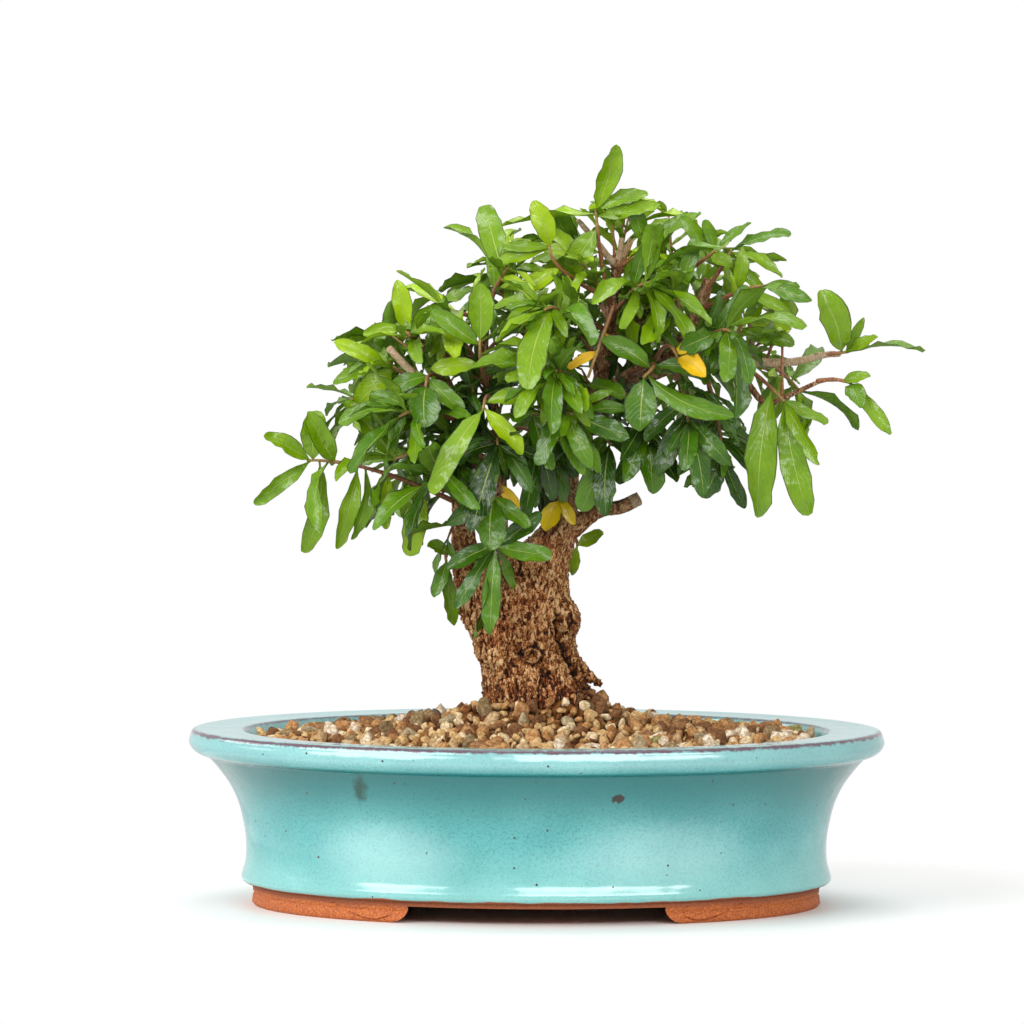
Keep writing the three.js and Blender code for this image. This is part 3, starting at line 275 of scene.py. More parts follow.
def closed_loft(rings: Sequence, start: Sequence[float], end: Sequence[float]) -> Shape:
    """A closed surface through rings of equally many points, with a fan at each end.

    Args:
        rings: for each ring its points, anticlockwise as seen from the last ring.
        start: the middle of the first ring.
        end: the middle of the last one.

    Returns:
        The points, with the two middles last, and the faces.
    """
    rows, sides = len(rings), len(rings[0])
    points = np.vstack([np.reshape(rings, (-1, 3)), [start, end]])
    faces = loft_faces(rows, sides)
    last = (rows - 1) * sides
    for side in range(sides):
        following = (side + 1) % sides
        faces += [(rows * sides, following, side), (rows * sides + 1, last + side, last + following)]
    return points, faces


def catmull(points: Array, steps: int) -> Array:
    """A smooth run through points.

    Args:
        points: rows of any width.
        steps: how many steps each span is split into.

    Returns:
        The rows of the smooth run, first and last point included.
    """
    rows = np.vstack([2 * points[0] - points[1], points, 2 * points[-1] - points[-2]])
    found = []
    for span in range(len(points) - 1):
        a, b, c, d = rows[span : span + 4]
        for step in range(steps):
            t = step / steps
            square = (2 * a - 5 * b + 4 * c - d) * t**2
            cubic = (3 * b - a - 3 * c + d) * t**3
            found.append(0.5 * (2 * b + (c - a) * t + square + cubic))
    found.append(points[-1])
    return np.array(found)


def rod(route: Array, radii: Array, sides: int) -> Shape:
    """A round closed rod along a route.

    Args:
        route: rows of x, y, z.
        radii: its radius at each row.
        sides: points round it.

    Returns:
        The points and the faces of a closed surface.
    """
    across = None
    rings = []
    for row, centre in enumerate(route):
        along = unit(route[min(row + 1, len(route) - 1)] - route[max(row - 1, 0)])
        if across is None:
            across = np.array([0.0, 0, 1] if abs(along[2]) < 0.9 else [1.0, 0, 0])
        across = unit(across - along * np.dot(across, along))
        third = np.cross(along, across)
        angles = np.linspace(0, 2 * math.pi, sides, endpoint=False)[:, None]
        rings.append(centre + radii[row] * (np.cos(angles) * across + np.sin(angles) * third))
    return closed_loft(rings, route[0], route[-1])


# -------------------------------------------------- finishes


def linear(hex_colour: str) -> tuple[float, float, float, float]:
    """The linear colour of an sRGB hex value such as #62B3AE."""
    parts = [int(hex_colour[place : place + 2], 16) / 255 for place in (1, 3, 5)]
    return (*(c / 12.92 if c <= 0.04045 else ((c + 0.055) / 1.055) ** 2.4 for c in parts), 1.0)


# Settings that most nodes of a kind have here
USUAL = {"Mix": {"data_type": "RGBA"}}


def add_node(
    tree: bpy.types.NodeTree, kind: str, inputs: dict | Sequence = (), out: str | None = None,
    stops: Sequence[tuple[float, str]] = (), **settings: object
) -> Socket | None:
    """Adds one node with its settings and links.

    Args:
        tree: the node tree.
        kind: the node's type name, in short for a shader node, and its operation after a space.
        inputs: in order, or by name or index: a value, a hex colour or the socket that feeds it.
        out: the output that is wanted, or None for the first that is in use.
        stops: place and hex colour of each stop, for a colour ramp.
        settings: the node's own properties.

    Returns:
        The output, if the node has one.
    """
    kind, _, operation = kind.partition(" ")
    node = tree.nodes.new(kind if "Node" in kind else f"ShaderNode{kind}")
    if operation:
        settings["operation"] = operation
    for name, value in (USUAL.get(kind, {}) | settings).items():
        setattr(node, name, value)
    for key, value in inputs.items() if isinstance(inputs, dict) else enumerate(inputs):
        if isinstance(value, Socket):
            tree.links.new(value, node.inputs[key])
        else:
            named = isinstance(value, str) and value.startswith("#")
            node.inputs[key].default_value = linear(value) if named else value
    if stops:
        ramp = node.color_ramp
        while len(ramp.elements) < len(stops):
            ramp.elements.new(1.0)
        for element, (place, colour) in zip(ramp.elements, stops):
            element.position = place
            element.color = linear(colour)
    return node.outputs[out] if out else next((end for end in node.outputs if end.enabled), None)


Adder = Callable[..., Socket]  # add_node with its tree given


@dataclass(frozen=True)
class Finish:
    """What a surface is made of. A subclass paints it."""

    name: str

    def material(self) -> bpy.types.Material:
        """The finish's material, made the first time it is asked for."""
        made = bpy.data.materials.get(self.name)
        if made is None:
            made = bpy.data.materials.new(self.name)
            made.use_nodes = True
            made.node_tree.nodes.clear()
            add = partial(add_node, made.node_tree)
            add("OutputMaterial", {"Surface": self.paint(add)})
        return made

    def paint(self, add: Adder) -> Socket:
        """Adds the nodes and returns the shader's output."""
        raise NotImplementedError

    def spot(self, add: Adder, stretch: Spot = (1, 1, 1)) -> Socket:
        """The place on the object, in millimetres about the pot's middle.

        Args:
            add: what adds a node to the tree.
            stretch: scale of each axis after the change to millimetres.

        Returns:
            A vector socket.
        """
        where = add("TexCoord", out="Object")
        scale = [part / MM for part in stretch]
        shift = [-middle * part for middle, part in zip(POT_MIDDLE, scale)]
        return add("Mapping", {"Vector": where, "Location": shift, "Scale": scale})


@dataclass(frozen=True)
class TurquoiseGlaze(Finish):
    """Glossy copper glaze on stoneware, poured: it breaks brown where it runs thin over an edge, carries fine
    iron specks, and stops in a wandering line above the bare red foot. Painted light is mixed in: a painted
    reflection makes it paler in patches over the roll at the base and low on the front, and, with the thinner
    glaze, paler over the rim; painted shade darkens it under the rim, where the glaze also gathers, and
    darkens the bare foot along the glaze line."""

    rim_edge: Pair = (128.5, 65.2)
    lip_edge: Pair = (109.3, 65.0)
    oval: float = 0.79
    line_height: float = 9.0
    # Centre, half sizes, colour and strength
    marks_and_sheens: tuple[tuple[Spot, Spot, str, float], ...] = (
        ((-64.5, -78, 50), (3, 12, 7.5), "#0A463E", 1),
        ((29.5, -88.5, 47.3), (2.3, 12, 1.5), "#24150C", 1.6),
        # Two pale patches low on the front: a painted reflection of the softboxes on the wall
        ((-57, -76, 25), (36, 30, 15), "#C9E4E0", 0.24), ((48, -78, 26), (46, 30, 15), "#C9E4E0", 0.22),
    )
    run_lean: float = 0.42
    fray: float = 6.0
    speck_spacing: float = 4.0
    speck_radius: float = 0.5

    def paint(self, add: Adder) -> Socket:
        """Adds the nodes and returns the shader's output."""
        spot = self.spot(add)
        height = add("SeparateXYZ", [spot], "Z")
        round_spot = self.spot(add, (1, 1 / self.oval, 0))
        radius = add("VectorMath LENGTH", [round_spot])

        clouds = add("TexNoise", {"Vector": spot, "Scale": 0.024, "Detail": 4, "Roughness": 0.5})
        body = add("ValToRGB", [clouds], stops=((0.32, "#469C9D"), (0.5, "#55A8AA"), (0.68, "#67B5B5")))
        # Mottling in the glaze, about 1 mm across
        mottle = add("TexNoise", {"Vector": spot, "Scale": 1.1, "Detail": 4, "Roughness": 0.75})
        mottle_tone = add(
            "ValToRGB", [mottle], stops=((0.34, "#A2C8C5"), (0.5, "#F0F8F7"), (0.64, "#FFFFFF"))
        )
        body = add("Mix", {0: 0.9, 6: body, 7: mottle_tone}, blend_type="MULTIPLY")
        # Paler in patches over the roll at the base: a painted reflection of the softboxes and the pale floor
        base_glow_noise = add("TexNoise", {"Vector": spot, "Scale": 0.045, "Detail": 2})
        wander = add("Math MULTIPLY_ADD", [base_glow_noise, 9, 4])
        base_glow_height = add("Math SUBTRACT", [height, wander])
        painted_base_glow = add("MapRange", [base_glow_height, 24, 0, 0, 0.38], interpolation_type="SMOOTHSTEP")
        body = add("Mix", {0: painted_base_glow, 6: body, 7: "#A9D8CF"})
        # Darker under the rim: the glaze gathers there, and a painted shade where the rim shades the wall
        under = add("MapRange", [height, 27, 55, 0, 0.9], interpolation_type="SMOOTHSTEP")
        above = add("MapRange", [height, 56, 57.5, 1, 0], interpolation_type="SMOOTHSTEP")
        under = add("Math MULTIPLY", [under, above])
        body = add("Mix", {0: under, 6: body, 7: "#006868"})
        # Paler over the rim: the glaze runs thin there, and a painted reflection of the white wall
        thin = add("MapRange", [height, 57, 60, 0, 0.3])
        body = add("Mix", {0: thin, 6: body, 7: "#BEDCDA"})
        # A green run under the rim and one large iron spot, both at the front, with ragged edges; the last
        # two are pale patches low on the front, a painted reflection of the softboxes
        ragged = add("TexNoise", {"Vector": spot, "Scale": 0.3, "Detail": 4, "Roughness": 0.7})
        frayed = add("VectorMath MULTIPLY_ADD", [ragged.node.outputs[1], [self.fray] * 3, spot])
        for centre, halves, shade, share in self.marks_and_sheens:
            middle = [place + self.fray / 2 for place in centre]
            off = add("VectorMath SUBTRACT", [frayed, middle])
            leaned = add(
                "Mapping",
                {"Vector": off, "Rotation": (0, self.run_lean, 0), "Scale": [1 / half for half in halves]},
                vector_type="POINT",
            )
            far = add("VectorMath LENGTH", [leaned])
            mark_and_sheen = add("MapRange", [far, 1.1, 0.3, 0, share], interpolation_type="SMOOTHSTEP")
            body = add("Mix", {0: mark_and_sheen, 6: body, 7: shade})
        # Iron specks
        cells = add("TexVoronoi", {"Vector": spot, "Scale": 1 / self.speck_spacing, "Randomness": 1})
        cell_size = add("SeparateColor", [cells.node.outputs["Color"]])
        reach = add("MapRange", [cell_size, 0.62, 1, 0, self.speck_radius / self.speck_spacing])
        speck = add("Math LESS_THAN", [cells, reach])
        body = add("Mix", {0: speck, 6: body, 7: "#3A2E22"})
        # Brown breaks along the two edges of the rim
        for (edge_radius, edge_height), width, share in (
            (self.rim_edge, 1.3, 0.95), (self.lip_edge, 0.9, 0.85)
        ):
            far = add(
                "CombineXYZ",
                [add("Math SUBTRACT", [radius, edge_radius]), add("Math SUBTRACT", [height, edge_height])],
            )
            far = add("VectorMath LENGTH", [far])
            edge = add("Math MULTIPLY_ADD", [ragged, 2.6 * width, -0.55 * width])
            inside = add("Math SUBTRACT", [edge, far])
            mask = add("MapRange", [inside, -0.35, 0.45, 0, share])
            body = add("Mix", {0: mask, 6: body, 7: "#5B3A49"})

        # Bare stoneware under the glaze line, with a painted shade along it for the recess between the wall
        # and the foot
        line_noise = add("TexNoise", {"Vector": spot, "Scale": 0.05, "Detail": 3})
        line = add("Math MULTIPLY_ADD", [line_noise, 3.4, self.line_height - 1.9])
        over = add("Math SUBTRACT", [height, line])
        glazed = add("MapRange", [over, -0.1, 0.15])
        clay_grain = add("TexNoise", {"Vector": spot, "Scale": 1.6, "Detail": 5, "Roughness": 0.7})
        clay = add("ValToRGB", [clay_grain], stops=((0.32, "#6A2A0A"), (0.48, "#A85017"), (0.64, "#D27A2C")))
        # Painted shade: a dark strip just under the glaze line
        foot_recess_shade = add("MapRange", [over, -3.3, -2.3, 0, 0.62])
        clay = add("Mix", {0: foot_recess_shade, 6: clay, 7: "#7A3A1E"})
        colour = add("Mix", {0: glazed, 6: clay, 7: body})
        roughness = add("MapRange", {0: glazed, 3: 0.78, 4: 0.12})
        grain = add("MapRange", {0: glazed, 3: 0.4, 4: 0.02})
        swell = add("TexNoise", {"Vector": spot, "Scale": 0.09, "Detail": 1, "Roughness": 0.5})
        relief = add("Math MULTIPLY_ADD", [clay_grain, grain, swell])
        bump = add("Bump", {"Strength": 1, "Distance": 0.0003, "Height": relief})
        return add(
            "BsdfPrincipled", {"Base Color": colour, "Roughness": roughness, "IOR": 1.66, "Normal": bump}
        )


@dataclass(frozen=True)
class FlakyBark(Finish):
    """Old pomegranate bark: grey-brown flakes that lift off redder wood, dark in the cracks, bleached where a
    stub is dead. It reads how far each point stands out of the cracks and how dead the wood is."""

    def paint(self, add: Adder) -> Socket:
        """Adds the nodes and returns the shader's output."""
        spot = self.spot(add)
        grain_spot = self.spot(add, (1.0, 1.0, 0.45))
        stand = add("Attribute", out="Fac", attribute_name="bark_stand")
        dead = add("Attribute", out="Fac", attribute_name="dead_wood")
        thin = add("Attribute", out="Fac", attribute_name="limb_bark")
        flecks = add("TexNoise", {"Vector": grain_spot, "Scale": 1.5, "Detail": 5, "Roughness": 0.7})
        # Flakes about 1.5 mm across, each of its own tone, with dark joints
        strayed = add("TexNoise", {"Vector": spot, "Scale": 0.5, "Detail": 2}, out=1)
        bent = add("VectorMath MULTIPLY_ADD", [strayed, (2.6, 2.6, 2.6), grain_spot])
        flake = add("TexVoronoi", {"Vector": bent, "Scale": 0.95})
        flake_tone = add("SeparateColor", [flake.node.outputs["Color"]])
        joint = add("TexVoronoi", {"Vector": bent, "Scale": 0.95}, feature="DISTANCE_TO_EDGE")
        joint = add("MapRange", [joint, 0, 0.12, 0.28, 0])
        mixed = add("Math MULTIPLY_ADD", [flecks, 1.35, -0.81])
        mixed = add("Math MULTIPLY_ADD", [flake_tone, 0.5, mixed])
        mixed = add("Math SUBTRACT", [mixed, joint])
        tone = add("Math ADD", [stand, mixed])
        old = add(
            "ValToRGB", [tone],
            stops=(
                (0.12, "#130803"), (0.29, "#47230C"), (0.45, "#884B1F"), (0.62, "#C47D40"), (0.88, "#FFD49A")
            ),
        )
        patches = add("TexNoise", {"Vector": spot, "Scale": 0.09, "Detail": 3})
        warm = add("MapRange", [patches, 0.45, 0.7, 0, 0.3])
        old = add("Mix", {0: warm, 6: old, 7: "#B4592F"}, blend_type="OVERLAY")
        young = add(
            "ValToRGB", [tone],
            stops=((0.1, "#3A2318"), (0.4, "#7C5238"), (0.65, "#AC8058"), (0.95, "#DDB68C")),
        )
        colour = add("Mix", {0: thin, 6: old, 7: young})
        faded = add("Math MULTIPLY_ADD", [tone, 0.45, 0.36])
        bleached = add(
            "ValToRGB", [faded],
            stops=((0.1, "#7A5236"), (0.35, "#BE936A"), (0.6, "#E6C49A"), (0.95, "#F8E6CC")),
        )
        colour = add("Mix", {0: dead, 6: colour, 7: bleached})
        bump = add("Bump", {"Strength": 1, "Distance": 0.0011, "Height": mixed})
        return add(
            "BsdfPrincipled",
            {"Base Color": colour, "Roughness": 0.82, "Specular IOR Level": 0.3, "Normal": bump},
        )


@dataclass(frozen=True)
class BakedClayGravel(Finish):
    """Crushed bonsai gravel: baked clay, pumice and a few lava grains, matt and pitted. Each grain is one
    colour, which its own number picks. Grains that lie deeper are painted darker, a painted shade for the
    gaps between the top grains."""

    darkening: str = "#FFFFFF"

    def paint(self, add: Adder) -> Socket:
        """Adds the nodes and returns the shader's output."""
        spot = self.spot(add)
        tone = add("Attribute", out="Fac", attribute_name="grain_tone")
        colour = add(
            "ValToRGB", [tone],
            stops=(
                (0, "#F6DBAC"), (0.15, "#E6C48F"), (0.29, "#CC9E66"), (0.40, "#FCEBC6"), (0.5, "#B68756"),
                (0.58, "#E6C690"), (0.68, "#D4B890"), (0.75, "#8B6443"), (0.82, "#CE9F6C"),
                (0.87, "#BFB090"), (0.905, "#F6EBD8"), (0.94, "#A08C69"), (0.97, "#746D63"),
                (0.98, "#AE835A"), (0.993, "#A5A36A"),
            ),
        )
        colour.node.color_ramp.interpolation = "CONSTANT"
        pits = add("TexNoise", {"Vector": spot, "Scale": 0.75, "Detail": 6, "Roughness": 0.7})
        shade = add("ValToRGB", [pits], stops=((0.32, "#6B5238"), (0.48, "#D2BEA4"), (0.6, "#FFFFFF")))
        result = add("Mix", {0: 0.85, 6: colour, 7: shade}, blend_type="MULTIPLY")
        # Deeper grains painted darker: a painted shade for the gaps between the top grains
        result = add("Mix", {0: 1, 6: result, 7: self.darkening}, blend_type="MULTIPLY")
        bump = add("Bump", {"Strength": 1, "Distance": 0.0008, "Height": pits})
        return add(
            "BsdfPrincipled",
            {"Base Color": result, "Roughness": 0.88, "Specular IOR Level": 0.25, "Normal": bump},
        )


@dataclass(frozen=True)
class SoilMix(Finish):
    """Damp fine potting soil between the grains: dark, matt and crumbly."""

    def paint(self, add: Adder) -> Socket:
        """Adds the nodes and returns the shader's output."""
        crumbs = add("TexNoise", {"Vector": self.spot(add), "Scale": 0.8, "Detail": 6, "Roughness": 0.75})
        colour = add("ValToRGB", [crumbs], stops=((0.3, "#34241A"), (0.55, "#5E432C"), (0.75, "#8E6C49")))
        bump = add("Bump", {"Strength": 1, "Distance": 0.001, "Height": crumbs})
        return add(
            "BsdfPrincipled",
            {"Base Color": colour, "Roughness": 0.95, "Specular IOR Level": 0.2, "Normal": bump},
        )


@dataclass(frozen=True)
class PolyethyleneMesh(Finish):
    """Dark moulded polyethylene net with a soft sheen and faint mould grain."""

    def paint(self, add: Adder) -> Socket:
        """Adds the nodes and returns the shader's output."""
        grain = add("TexNoise", {"Vector": self.spot(add), "Scale": 2, "Detail": 3})
        colour = add("ValToRGB", [grain], stops=((0.3, "#1C211E"), (0.7, "#323A35")))
        bump = add("Bump", {"Strength": 0.3, "Distance": 0.0002, "Height": grain})
        return add("BsdfPrincipled", {"Base Color": colour, "Roughness": 0.5, "IOR": 1.51, "Normal": bump})


@dataclass(frozen=True)
class YoungBark(Finish):
    """The thin bark of this year's shoots: smooth, red-brown at the root and olive towards the tip."""

    def paint(self, add: Adder) -> Socket:
        """Adds the nodes and returns the shader's output."""
        spot = self.spot(add)
        along = add("Attribute", out="Fac", attribute_name="blade_tone")
        streaks = add("TexNoise", {"Vector": spot, "Scale": 1.3, "Detail": 4, "Roughness": 0.65})
        brown = add("ValToRGB", [streaks], stops=((0.3, "#6B3D27"), (0.55, "#9C6442"), (0.75, "#CC9C6C")))
        olive = add("ValToRGB", [streaks], stops=((0.3, "#7A6B35"), (0.7, "#A89A4C")))
        green = add("MapRange", [along, 0.55, 1, 0, 0.7])
        colour = add("Mix", {0: green, 6: brown, 7: olive})
        bump = add("Bump", {"Strength": 0.5, "Distance": 0.0002, "Height": streaks})
        return add("BsdfPrincipled", {"Base Color": colour, "Roughness": 0.6, "Normal": bump})


@dataclass(frozen=True)
class WaxyLeaf(Finish):
    """A pomegranate leaf: a thin waxy cuticle over green flesh that lets light through, with a pale midrib,
    faint side veins, a thin purplish margin and a paler underside. Each leaf's own number sets its age."""

    tones: tuple[tuple[float, str], ...]
    rib: str
    margin: str
    through: str
    gloss: float = 0.23

    def paint(self, add: Adder) -> Socket:
        """Adds the nodes and returns the shader's output."""
        spot = self.spot(add)
        tone = add("Attribute", out="Fac", attribute_name="blade_tone")
        under = add("Attribute", out="Fac", attribute_name="underside")
        place = add("UVMap", uv_map="blade")
        along = add("SeparateXYZ", [place], "X")
        across = along.node.outputs["Y"]
        side = add("Math SUBTRACT", [across, 0.5])
        side = add("Math ABSOLUTE", [side])

        blotches = add("TexNoise", {"Vector": spot, "Scale": 0.16, "Detail": 3, "Roughness": 0.6})
        shifted = add("Math MULTIPLY_ADD", [blotches, 0.36, -0.18])
        age = add("Math ADD", [tone, shifted])
        flesh = add("ValToRGB", [age], stops=self.tones)

        # Side veins leave the midrib towards the tip, about 10 on a blade
        slant = add("Math MULTIPLY_ADD", [side, -0.62, along])
        beat = add("Math MULTIPLY", [slant, 62])
        beat = add("Math MULTIPLY_ADD", [blotches, 5, beat])
        veins = add("Math SINE", [beat])
        vein = add("MapRange", [veins, 0.6, 1, 0, 0.08])
        # The midrib narrows towards the tip
        rib_width = add("MapRange", [along, 0, 1, 0.055, 0.012])
        rib_inner = add("Math MULTIPLY", [rib_width, 0.45])
        rib = add("MapRange", [side, rib_width, rib_inner, 0, 0.62])
        pale = add("Math MULTIPLY", [under, 0.3])
        rim = add("MapRange", [side, 0.445, 0.49, 0, 0.8])
        colour = flesh
        for mask, tint in ((vein, self.rib), (pale, "#8DAF3A"), (rib, self.rib), (rim, self.margin)):
            colour = add("Mix", {0: mask, 6: colour, 7: tint})

        relief = add("Math ADD", [vein, add("Math MULTIPLY", [rib, -0.5])])
        puckers = add("TexNoise", {"Vector": spot, "Scale": 0.28, "Detail": 1, "Roughness": 0.5})
        relief = add("Math ADD", [relief, puckers])
        bump = add("Bump", {"Strength": 0.8, "Distance": 0.0007, "Height": relief})
        dull = add("MapRange", {0: under, 3: self.gloss, 4: 0.55})
        skin = add(
            "BsdfPrincipled",
            {"Base Color": colour, "Roughness": dull, "IOR": 1.5, "Specular IOR Level": 0.6, "Normal": bump},
        )
        lit = add("Mix", {0: 1, 6: colour, 7: self.through}, blend_type="MULTIPLY")
        glow = add("BsdfTranslucent", {"Color": lit, "Normal": bump})
        return add("MixShader", [0.28, skin, glow])


@dataclass(frozen=True)
class PaintedBoard(Finish):
    """Matt pale board that the pot stands on in the studio."""

    def paint(self, add: Adder) -> Socket:
        """Adds the nodes and returns the shader's output."""
        return add("BsdfPrincipled", {"Base Color": "#F1F1EF", "Roughness": 0.55})


GLAZE = TurquoiseGlaze("turquoise_glaze")
BARK = FlakyBark("flaky_pomegranate_bark")
GRAVEL = BakedClayGravel("baked_clay_gravel")
# The lower layer of grains, painted darker as a painted shade in the gaps between the top grains
SHADED_GRAVEL = BakedClayGravel("damp_clay_gravel", darkening="#B0967A")
SOIL = SoilMix("damp_soil")
NET = PolyethyleneMesh("polyethylene_net")
TWIG = YoungBark("young_red_bark")
LEAF = WaxyLeaf(
    "waxy_leaf",
    tones=((0, "#B1D310"), (0.22, "#8AB309"), (0.5, "#629307"), (0.75, "#3F700B"), (1, "#264B0A")),
    rib="#C8DC70", margin="#2A2410", through="#FFFF60",
)
YELLOW_LEAF = WaxyLeaf(
    "yellowed_leaf", tones=((0, "#FBD81C"), (0.6, "#F8C40C"), (1, "#E8A408")), rib="#F9D24A",
    margin="#B0761A", through="#FFF0A0", gloss=0.45,
)
TURNING_LEAF = WaxyLeaf(
    "turning_leaf", tones=((0.5, "#EFD016"), (0.6, "#B4B41A"), (0.7, "#55800F")), rib="#E4DC70",
    margin="#6A5A18", through="#FFFF60",
)
BOARD = PaintedBoard("pale_board")


# ------------------------------------------------------- pot


@dataclass
class OvalPot:
    """The slip-cast oval pot: rolled rim, flaring wall, a roll at the base and two C-shaped feet."""

    oval: float = 0.79
    sides: int = 192
    span_steps: int = 5
    foot_height: float = 6.3
    foot_half_width: float = 105.9
    foot_wall: float = 14.0
    foot_sunk: float = 1.5
    arch_half: float = 47.0
    # How the end of a foot runs from the table up to its tip: outwards from the tip, and height
    toe: tuple[Pair, ...] = (
        (7.6, 0), (5.4, 0.35), (3.7, 0.9), (2.4, 1.7), (1.3, 2.7), (0.4, 3.9), (0, 5.2), (0.3, 6.1)
    )
    # The scroll line cut into a foot: x and height, from the glaze down to the toe
    scroll: tuple[Pair, ...] = (
        (79.5, 7.9), (76, 6.6), (72, 5), (68.5, 3.2), (65, 1.9), (61, 1.1), (57.5, 1.3), (54, 2.6)
    )
    scroll_hook: tuple[Pair, ...] = ((57.8, 7.2), (55.0, 6.3), (52.4, 4.6))
    groove: float = 0.42
    drain_x: float = 30.0
    drain_radius: float = 8.0
    floor_top: float = 13.0
    # Runs of radius and height. Each is smooth, and they meet at crisp corners.
    runs: tuple[tuple[Pair, ...], ...] = (
        ((0, 6.3), (60, 6.3), (106, 6.3)), ((106, 6.3), (106.3, 7.4), (106.2, 8.3)),
        (
            (106.2, 8.3), (108.2, 8.3), (109.6, 8.8), (110.3, 9.8), (110.35, 10.9), (110, 12.1),
            (109.6, 13.4), (109.15, 14.8), (108.8, 16.4), (108.55, 18.8), (108.5, 22), (108.7, 25.5),
            (109.4, 30), (111.4, 38), (114.6, 45), (119.1, 51.2), (123, 55.6),
        ),
        (
            (123, 55.6), (125.2, 56.2), (127.4, 57.2), (129, 58.6), (129.8, 60), (130, 61.1), (129.8, 62.1),
            (129.45, 63.2), (129.05, 64.4), (128.3, 65.3), (127, 65.7), (125, 65.7), (119, 65.4),
            (112.4, 65.3), (110.2, 65.2), (109, 64.6), (108.4, 63.3), (107.6, 60.6), (106.6, 57),
            (105.6, 44), (102.6, 26), (100.4, 18.5), (98, 14.6), (94, 13),
        ),
        ((94, 13), (50, 13), (0, 13)),
    )

    def profile(self) -> Array:
        """The whole profile as rows of radius and height, from the middle underneath to the middle inside."""
        rows = [catmull(np.array(run), self.span_steps) for run in self.runs]
        return np.vstack([run[:-1] for run in rows[:-1]] + [rows[-1]])

    def turned_body(self) -> Piece:
        """The wall, rim and floor as one closed surface."""
        profile = self.profile()
        angles = np.linspace(0, 2 * math.pi, self.sides, endpoint=False)
        rings = [
            [[r * math.cos(a), r * math.sin(a) * self.oval, z] for a in angles] for r, z in profile[1:-1]
        ]
        return mesh_object("oval_pot", *closed_loft(rings, (0, 0, profile[0][1]), (0, 0, profile[-1][1])))

    def foot_ring(self) -> Piece:
        """The oval ring under the floor that the feet are cut from."""
        top = self.foot_height + self.foot_sunk
        outer, inner = self.foot_half_width, self.foot_half_width - self.foot_wall
        flare = 0.9  # the ring leans out a little towards the table
        worn = 0.5  # radius worn off the edge that stands on the table
        outline = [
            (outer, top), (outer, 5.2), (outer - 0.5, 4.4), (outer + 0.1, 3.4),
            (outer + flare * 0.4, worn * 2), (outer - worn, 0), (inner + worn, 0), (inner, worn),
            (inner - flare, top),
        ]
        angles = np.linspace(0, 2 * math.pi, self.sides, endpoint=False)
        points = []
        for radius, height in outline:
            depth = radius - self.foot_half_width * (1 - self.oval)
            points += [[radius * math.cos(a), depth * math.sin(a), height] for a in angles]
        faces = loft_faces(len(outline), self.sides)
        last = (len(outline) - 1) * self.sides
        for side in range(self.sides):
            following = (side + 1) % self.sides
            faces.append((last + side, last + following, following, side))
        # The outline runs down the outside, so the quads are turned over to face out.
        return mesh_object("foot_ring", np.array(points), [face[::-1] for face in faces])

    def arch(self) -> Piece:
        """The block that opens the ring at the front and back, with a concave scroll at each end."""
        top = self.foot_height + self.foot_sunk + 1
        right = [(self.arch_half + self.toe[0][0], -1.0)]
        right += [(self.arch_half + out, height) for out, height in self.toe]
        right += [(self.arch_half + self.toe[-1][0], top)]
        outline = right + [(-x, z) for x, z in reversed(right)]
        reach = 2 * self.foot_half_width
        points = np.array([[x, y, z] for y in (-reach, reach) for x, z in outline])
        count = len(outline)
        faces: list[Face] = [tuple(range(count)), tuple(range(2 * count - 1, count - 1, -1))]
        for side in range(count):
            following = (side + 1) % count
            faces.append((side, count + side, count + following, following))
        return mesh_object("arch", points, faces)

    def scroll_cutter(self, side: int, front: int, line: Sequence[Pair]) -> Piece:
        """A thin rod that cuts a scroll line into a foot.

        Args:
            side: -1 for a left foot, 1 for a right one.
            front: -1 for the front, 1 for the back.
            line: x and height of its points.

        Returns:
            The cutter.
        """
        outer, depth = self.foot_half_width, self.foot_half_width * self.oval
        rows = catmull(np.array(line), 4)
        route = [[side * x, front * depth * math.sqrt(1 - (x / outer) ** 2), z] for x, z in rows]
        return mesh_object("scroll_cutter", *rod(np.array(route), np.full(len(route), self.groove), 6))

    def drain(self, x: float) -> Piece:
        """A round cutter for the drain hole at x."""
        route = np.array([[x, 0.0, 0.0], [x, 0.0, 2 * self.floor_top]])
        return mesh_object("drain", *rod(route, np.full(2, self.drain_radius), 40))

    def build(self) -> None:
        """Builds the pot and dresses it."""
        piece = self.turned_body()
        feet = self.foot_ring()
        cut_or_join(feet, self.arch(), "DIFFERENCE")
        for side in (-1, 1):
            for front in (-1, 1):
                for line in (self.scroll, self.scroll_hook):
                    cut_or_join(feet, self.scroll_cutter(side, front, line), "DIFFERENCE")
        cut_or_join(piece, feet, "UNION")
        for x in (-self.drain_x, self.drain_x):
            cut_or_join(piece, self.drain(x), "DIFFERENCE")
        piece.data.shade_smooth()
        piece.data.set_sharp_from_angle(angle=math.radians(50))
        dress(piece, "pot_glaze", [GLAZE], "pot")


@dataclass
class DrainScreens:
    """The two squares of plastic net over the drain holes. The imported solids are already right."""

    nodes: tuple[str, str] = ("drain_screen_left", "drain_screen_right")

    def build(self) -> None:
        """Gives both squares their finish."""
        for name in self.nodes:
            mesh = frame["nodes"][name].data
            mesh.materials.clear()
            mesh.materials.append(NET.material())
            log.info("%s: dressed", name)


# ------------------------------------------------------ soil


@dataclass
class Mound:
    """The surface of the soil, highest at the trunk."""

    edge_height: float = 60.0
    rise: float = 12.0
    power: float = 1.3
    collar: float = 15.0
    collar_reach: float = 0.42
    collar_power: float = 1.5
    middle_x: float = 2.0
    radius: float = 106.0
    oval: float = 0.79

    def height(self, x: float, y: float) -> float:
        """Height of the joints between grains at x, y."""
        away = min(math.hypot(x - self.middle_x, y / self.oval) / self.radius, 1.0)
        collar = max(0.0, 1 - away / self.collar_reach) ** self.collar_power
        return self.edge_height + self.rise * (1 - away) ** self.power + self.collar * collar


